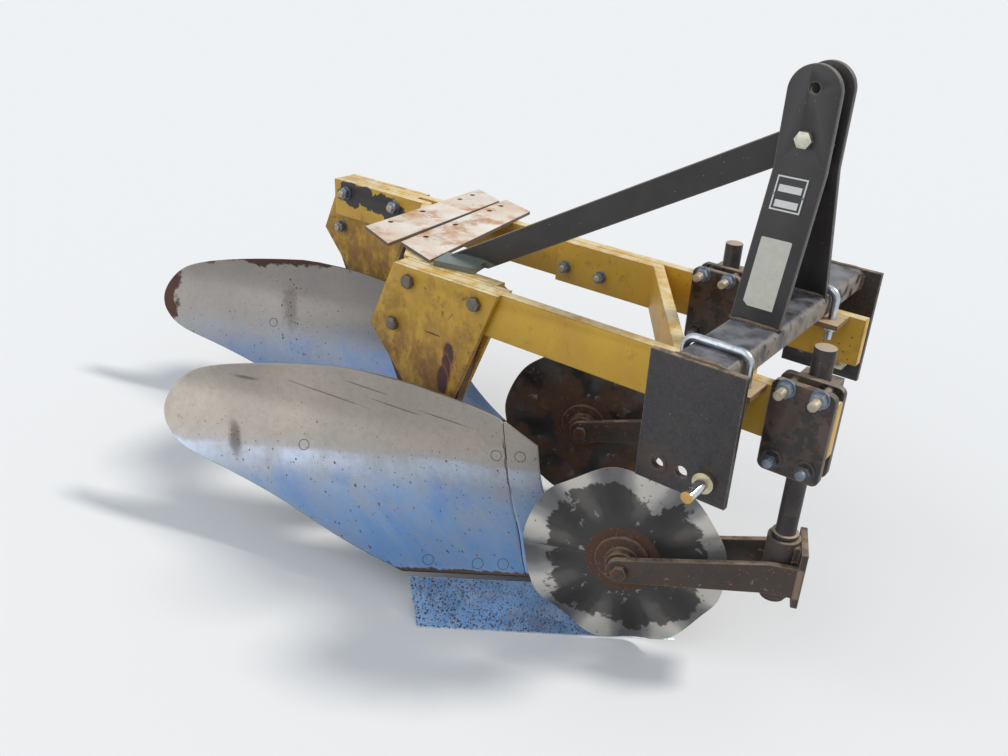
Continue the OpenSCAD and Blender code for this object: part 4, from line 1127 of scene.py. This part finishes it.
def frameBolts(side):
    # the near side's tie lies behind its beam, the far side's in front of it
    spots, right = boltPlaces[side], side == "right"
    beam, plate, tie, seat = (stack[k] for k in ("beam", "plate", "tie", "seat"))
    y, shape = spots["beamY"], Shape()
    for i, (x, z) in enumerate(standardBolts):
        tied = tie + seat if i < 2 else 0
        front, rear = y - plate - seat, y + beam + plate + seat
        if right:
            addFastener(shape, "head", (x, front, z), near)
            addFastener(shape, "nut", (x, rear + tied, z), back)
        else:
            addFastener(shape, "nut", (x + spots["aft"], front - tied, z), near)
            addFastener(shape, "head", (x + spots["aft"], rear, z), back)
    for x in spots["tieX"]:
        if right:
            addFastener(shape, "tieNut", (x, y + beam + tie + seat, spots["tieZ"]), back)
            addFastener(shape, "tieHead", (x, y, spots["tieZ"]), near)
        else:
            addFastener(shape, "tieNut", (x, y - tie - seat, spots["tieZ"]), near)
            addFastener(shape, "tieHead", (x, y + beam, spots["tieZ"]), back)
    shape.piece("frame_bolts_" + side, "frame", "rusted_steel", [bolts[spots["steel"]], bolts["thread"]],
                edges["bolt"])


def clampBoltsOf(side):
    spots, bright, dull = boltPlaces[side], Shape(), Shape()
    y = spots["beamY"] - stack["plate"] - stack["seat"]
    for dx in (-clampBolts["apart"] / 2, clampBolts["apart"] / 2):
        addFastener(bright, "clampNut", (spots["clampX"] + dx, y, clampBolts["high"]), near, True)
        addFastener(dull, "lowNut", (spots["clampX"] + dx, y, clampBolts["low"]), near, True)
    bright.piece("clamp_nuts_" + side, "frame", "zinc", [bolts["blue"], bolts["thread"]], edges["bolt"])
    dull.piece("clamp_bolts_" + side, "frame", "rusted_steel", [bolts["dark"], bolts["blue"]], edges["bolt"])


for side in ("right", "left"):
    frameBolts(side)
    clampBoltsOf(side)
print("bolts and nuts built")


# Places along the yoke are measured from the shank's axis, with heights from the ground
yoke = {"front": -44.0, "thick": 12.7, "gap": 34.0, "armZ": 262.0, "high": 66.0, "low": 54.0, "bend": 20.0,
        "plateLow": 208.0, "plateTop": 330.0, "web": 24.0, "webBack": -12.0, "webShort": 10.0,
        "sleeve": 31.0, "bore": 19.13, "sleeveLow": 206.0, "sleeveTop": 336.0, "chamfer": 1.5}


def coulterFrame(side):
    # origin on the shank's axis at ground level, X back along the trail
    swivel = next(j for j in frame["joints"] if j["name"] == "coulter_swivel_" + side)
    at = Vector(swivel["pos_m"])
    centre, angle = coulterAngle(side)
    turn = Matrix.Translation((at.x, at.y, 0)) @ Matrix.Rotation(angle, 4, "Z")
    return turn, 1000 * (centre - at).to_2d().length, 1000 * centre.z


def rectangle(left, right, low, high):
    return [(left, low), (right, low), (right, high), (left, high)]


def yokeBody(side):
    turn, trail, axleZ = coulterFrame(side)
    turn = turn @ Matrix.Scale(0.001, 4)
    y, shape = yoke, Shape()
    root, middle, half, end = y["front"] + 2, y["armZ"], y["high"] / 2, y["low"] / 2
    nose = [(trail + end * math.sin(a), axleZ - end * math.cos(a)) for a in (math.pi * k / 16 for k in range(17))]
    outline = ([(root, middle - half), (y["bend"], middle - half)] + nose
               + [(y["bend"], middle + half), (root, middle + half)])
    across = y["gap"] + y["thick"]
    for inside, outside in ((-across, -y["gap"]), (y["gap"], across)):
        shape.rings([[(x, at, z) for x, z in outline] for at in (inside, outside)], turn)
    web = rectangle(-y["web"], y["web"], y["sleeveLow"] + y["webShort"], y["sleeveTop"] - y["webShort"])
    face = rectangle(-across - 0.4, across + 0.4, y["plateLow"], y["plateTop"])
    for x0, x1, corners in ((y["front"], y["front"] + y["thick"], face), (y["front"] + 1, y["webBack"], web)):
        shape.rings([[(x, b, z) for b, z in corners] for x in (x0, x1)], turn)
    bore, out, low, top, cut = (y[k] for k in ("bore", "sleeve", "sleeveLow", "sleeveTop", "chamfer"))
    profile = [(bore, low), (out - cut, low), (out, low + cut), (out, top - cut), (out - cut, top), (bore, top)]
    shape.rings([circle(r, z, 64) for r, z in profile], turn, hollow=True)
    piece = shape.piece("yoke_body_" + side, "yoke_" + side, "rusty_black", [finishes["rusty_black"]],
                        edges["yoke"])
    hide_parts("coulter_yoke_" + side)


# The mast plates, and the faces that the welds lie along
mast = {"bendZ": 970.0, "footZ": 702.0, "out": 38.1, "footY": 122.0, "half": 48.0}
weld = {"barTop": 702.0, "barLow": 651.2, "barHalf": 50.8, "barEnd": 328.8, "mastThick": 13.0,
        "topHalf": 50, "underHalf": 44, "footHalf": 46,
        "strapHalf": 80.0, "strapZ": 640.6, "bracePath": [(-622, -137, 652), (-664, -128, 652)],
        "armHalf": 30.0, "webShort": 14.0}
beadRadius = {"top": 5.5, "upright": 5.0, "under": 4.5, "footOut": 4.6, "footIn": 4.2, "footEnd": 4.0,
              "strap": 4.2, "brace": 3.6, "arm": 3.6, "web": 4.0}
bead = {"step": 1.15, "sides": 12, "ends": 0.35, "taper": 4.0, "low": 0.82, "swell": 0.24, "ripple": 4.6,
        "uneven": 0.03, "sway": 0.22, "swayOver": 9.0}


def weldBead(shape, start, end, size, turn=Matrix.Translation(home)):
    # a rippled bead laid straight between two points, half sunk in the corner
    start, end = Vector(start), Vector(end)
    length = (end - start).length
    radius, uneven = beadRadius[size], bead["uneven"]
    count = max(6, int(length / bead["step"]))
    aim = (end - start).to_track_quat("Z", "Y").to_matrix().to_4x4()
    rings = []
    for i in range(count + 1):
        t = length * i / count
        taper = min(1.0, bead["ends"] + bead["taper"] * min(i, count - i) / count)
        wave = bead["swell"] * abs(math.sin(math.pi * t / bead["ripple"]))
        r = radius * taper * (bead["low"] + wave + rng.uniform(-uneven, uneven))
        sway = bead["sway"] * radius * math.sin(t / bead["swayOver"] + length)
        rings.append([(x + sway, y, z) for x, y, z in circle(r, t, bead["sides"])])
    shape.rings(rings, turn @ Matrix.Scale(0.001, 4) @ Matrix.Translation(start) @ aim)


def frameWelds():
    shape = Shape()
    top, low, half, wide = weld["barTop"], weld["barLow"], weld["barHalf"], weld["topHalf"]
    under, ahead, strap = weld["underHalf"], weld["footHalf"], weld["strapHalf"]
    for sign in (-1, 1):
        y = sign * weld["barEnd"]  # round the crossbar's ends, on the hitch plates
        weldBead(shape, (-wide, y, top - 1), (wide, y, top - 1), "top")
        for x in (-half, half):
            weldBead(shape, (x, y, top - 6), (x, y, low + 4), "upright")
        weldBead(shape, (-under, y, low), (under, y, low), "under")
        foot, thick, z = sign * mast["footY"], sign * weld["mastThick"], top + 1  # round the mast's feet
        weldBead(shape, (-ahead, foot, z), (ahead, foot, z), "footOut")
        weldBead(shape, (-ahead, foot - thick, z), (ahead, foot - thick, z), "footIn")
        for x in (-mast["half"], mast["half"]):
            weldBead(shape, (x, foot - sign, z), (x, foot - thick + sign, z), "footEnd")
    for side in ("right", "left"):  # between each beam and the strap over it
        y = boltPlaces[side]["beamY"] - 1
        weldBead(shape, (-strap, y, weld["strapZ"]), (strap, y, weld["strapZ"]), "strap")
    weldBead(shape, *weld["bracePath"], "brace")
    shape.piece("frame_welds", "frame", "black_paint", [bolts["weld"]])


def yokeWelds(side):
    # the arms and the web meet the front plate in upright beads
    turn = coulterFrame(side)[0]
    shape = Shape()
    at = yoke["front"] + yoke["thick"]
    armLow, armTop = yoke["armZ"] - weld["armHalf"], yoke["armZ"] + weld["armHalf"]
    webLow, webTop = yoke["sleeveLow"] + weld["webShort"], yoke["sleeveTop"] - weld["webShort"]
    for sign in (-1, 1):
        weldBead(shape, (at, sign * yoke["gap"], armLow), (at, sign * yoke["gap"], armTop), "arm", turn)
        weldBead(shape, (at, sign * yoke["web"], webLow), (at, sign * yoke["web"], webTop), "web", turn)
    shape.piece("yoke_welds_" + side, "yoke_" + side, "rusty_black", [bolts["weld"]])


frameWelds()
for side in ("right", "left"):
    yokeBody(side)
    yokeWelds(side)
print("yokes and weld beads built")


plate = {"inset": 12.0, "wide": 61, "low": 897.0, "high": 960.0, "line": 2.6, "rim": 2.2, "clear": 0.03,
         "thick": 0.9, "paint": 0.16, "fields": [0.13, 0.54], "fieldHigh": 0.19, "fieldIn": 9,
         "rivetIn": 3.4, "rivet": 2.4}
paperLabel = {"inset": 16.0, "wide": 58, "low": 731.0, "high": 852.0, "cut": 7, "thick": 0.30}


def onMast(across, z, proud):
    # a point on the right mast plate's splayed outer face, measured across from its rear edge
    slope = (mast["footY"] - mast["out"]) / (mast["bendZ"] - mast["footZ"])
    y = -mast["out"] - slope * (mast["bendZ"] - z)
    away = Vector((0, -1, slope)).normalized() * proud
    return place(across - mast["half"], y + away.y, z + away.z)


def slab(shape, outline, low, high, kind=0):
    shape.rings([[onMast(a, z, proud) for a, z in outline] for proud in (low, high)], Matrix.Identity(4), kind)


def typePlate():
    # a blank plate with a painted frame and two empty fields, held by two rivets
    shape = Shape()
    low, high, rim, line = plate["low"], plate["high"], plate["rim"], plate["line"]
    thick, paint, tall = plate["thick"], plate["thick"] + plate["paint"], high - low
    left, right = plate["inset"], plate["inset"] + plate["wide"]
    slab(shape, rectangle(left, right, low, high), plate["clear"], thick)
    x0, x1, z0, z1 = left + rim, right - rim, low + rim, high - rim
    lines = [(x0, x1, z1 - line, z1), (x0, x1, z0, z0 + line), (x0, x0 + line, z0 + line, z1 - line),
             (x1 - line, x1, z0 + line, z1 - line)]
    fields = [(left + plate["fieldIn"], right - plate["fieldIn"], low + share * tall,
               low + (share + plate["fieldHigh"]) * tall) for share in plate["fields"]]
    for corners in lines + fields:
        slab(shape, rectangle(*corners), thick, paint, 1)
    rivet, z = plate["rivet"], (low + high) / 2 - 2
    for a in (left + plate["rivetIn"], right - plate["rivetIn"]):
        rings = [[onMast(a + x, z + up, proud) for x, up, proud in circle(r, height, 16)]
                 for r, height in ((rivet, thick), (rivet, thick + 0.6), (rivet - 1, thick + 1.1))]
        shape.rings(rings, Matrix.Identity(4), 2)
    shape.piece("type_plate", "frame", "black_paint", [labels["black"], labels["white"], bolts["blue"]])


def blankLabel():
    shape = Shape()
    left, right = paperLabel["inset"], paperLabel["inset"] + paperLabel["wide"]
    low, high, cut = paperLabel["low"], paperLabel["high"], paperLabel["cut"]
    slab(shape, [(left + cut * 1.4, low), (right, low), (right, high - 2), (right - 2, high), (left + 2, high),
                 (left, high - 2), (left, low + cut)], plate["clear"], paperLabel["thick"])
    shape.piece("paper_label", "frame", "black_paint", [labels["cream"]])


typePlate()
blankLabel()
print("blank plate and label built")
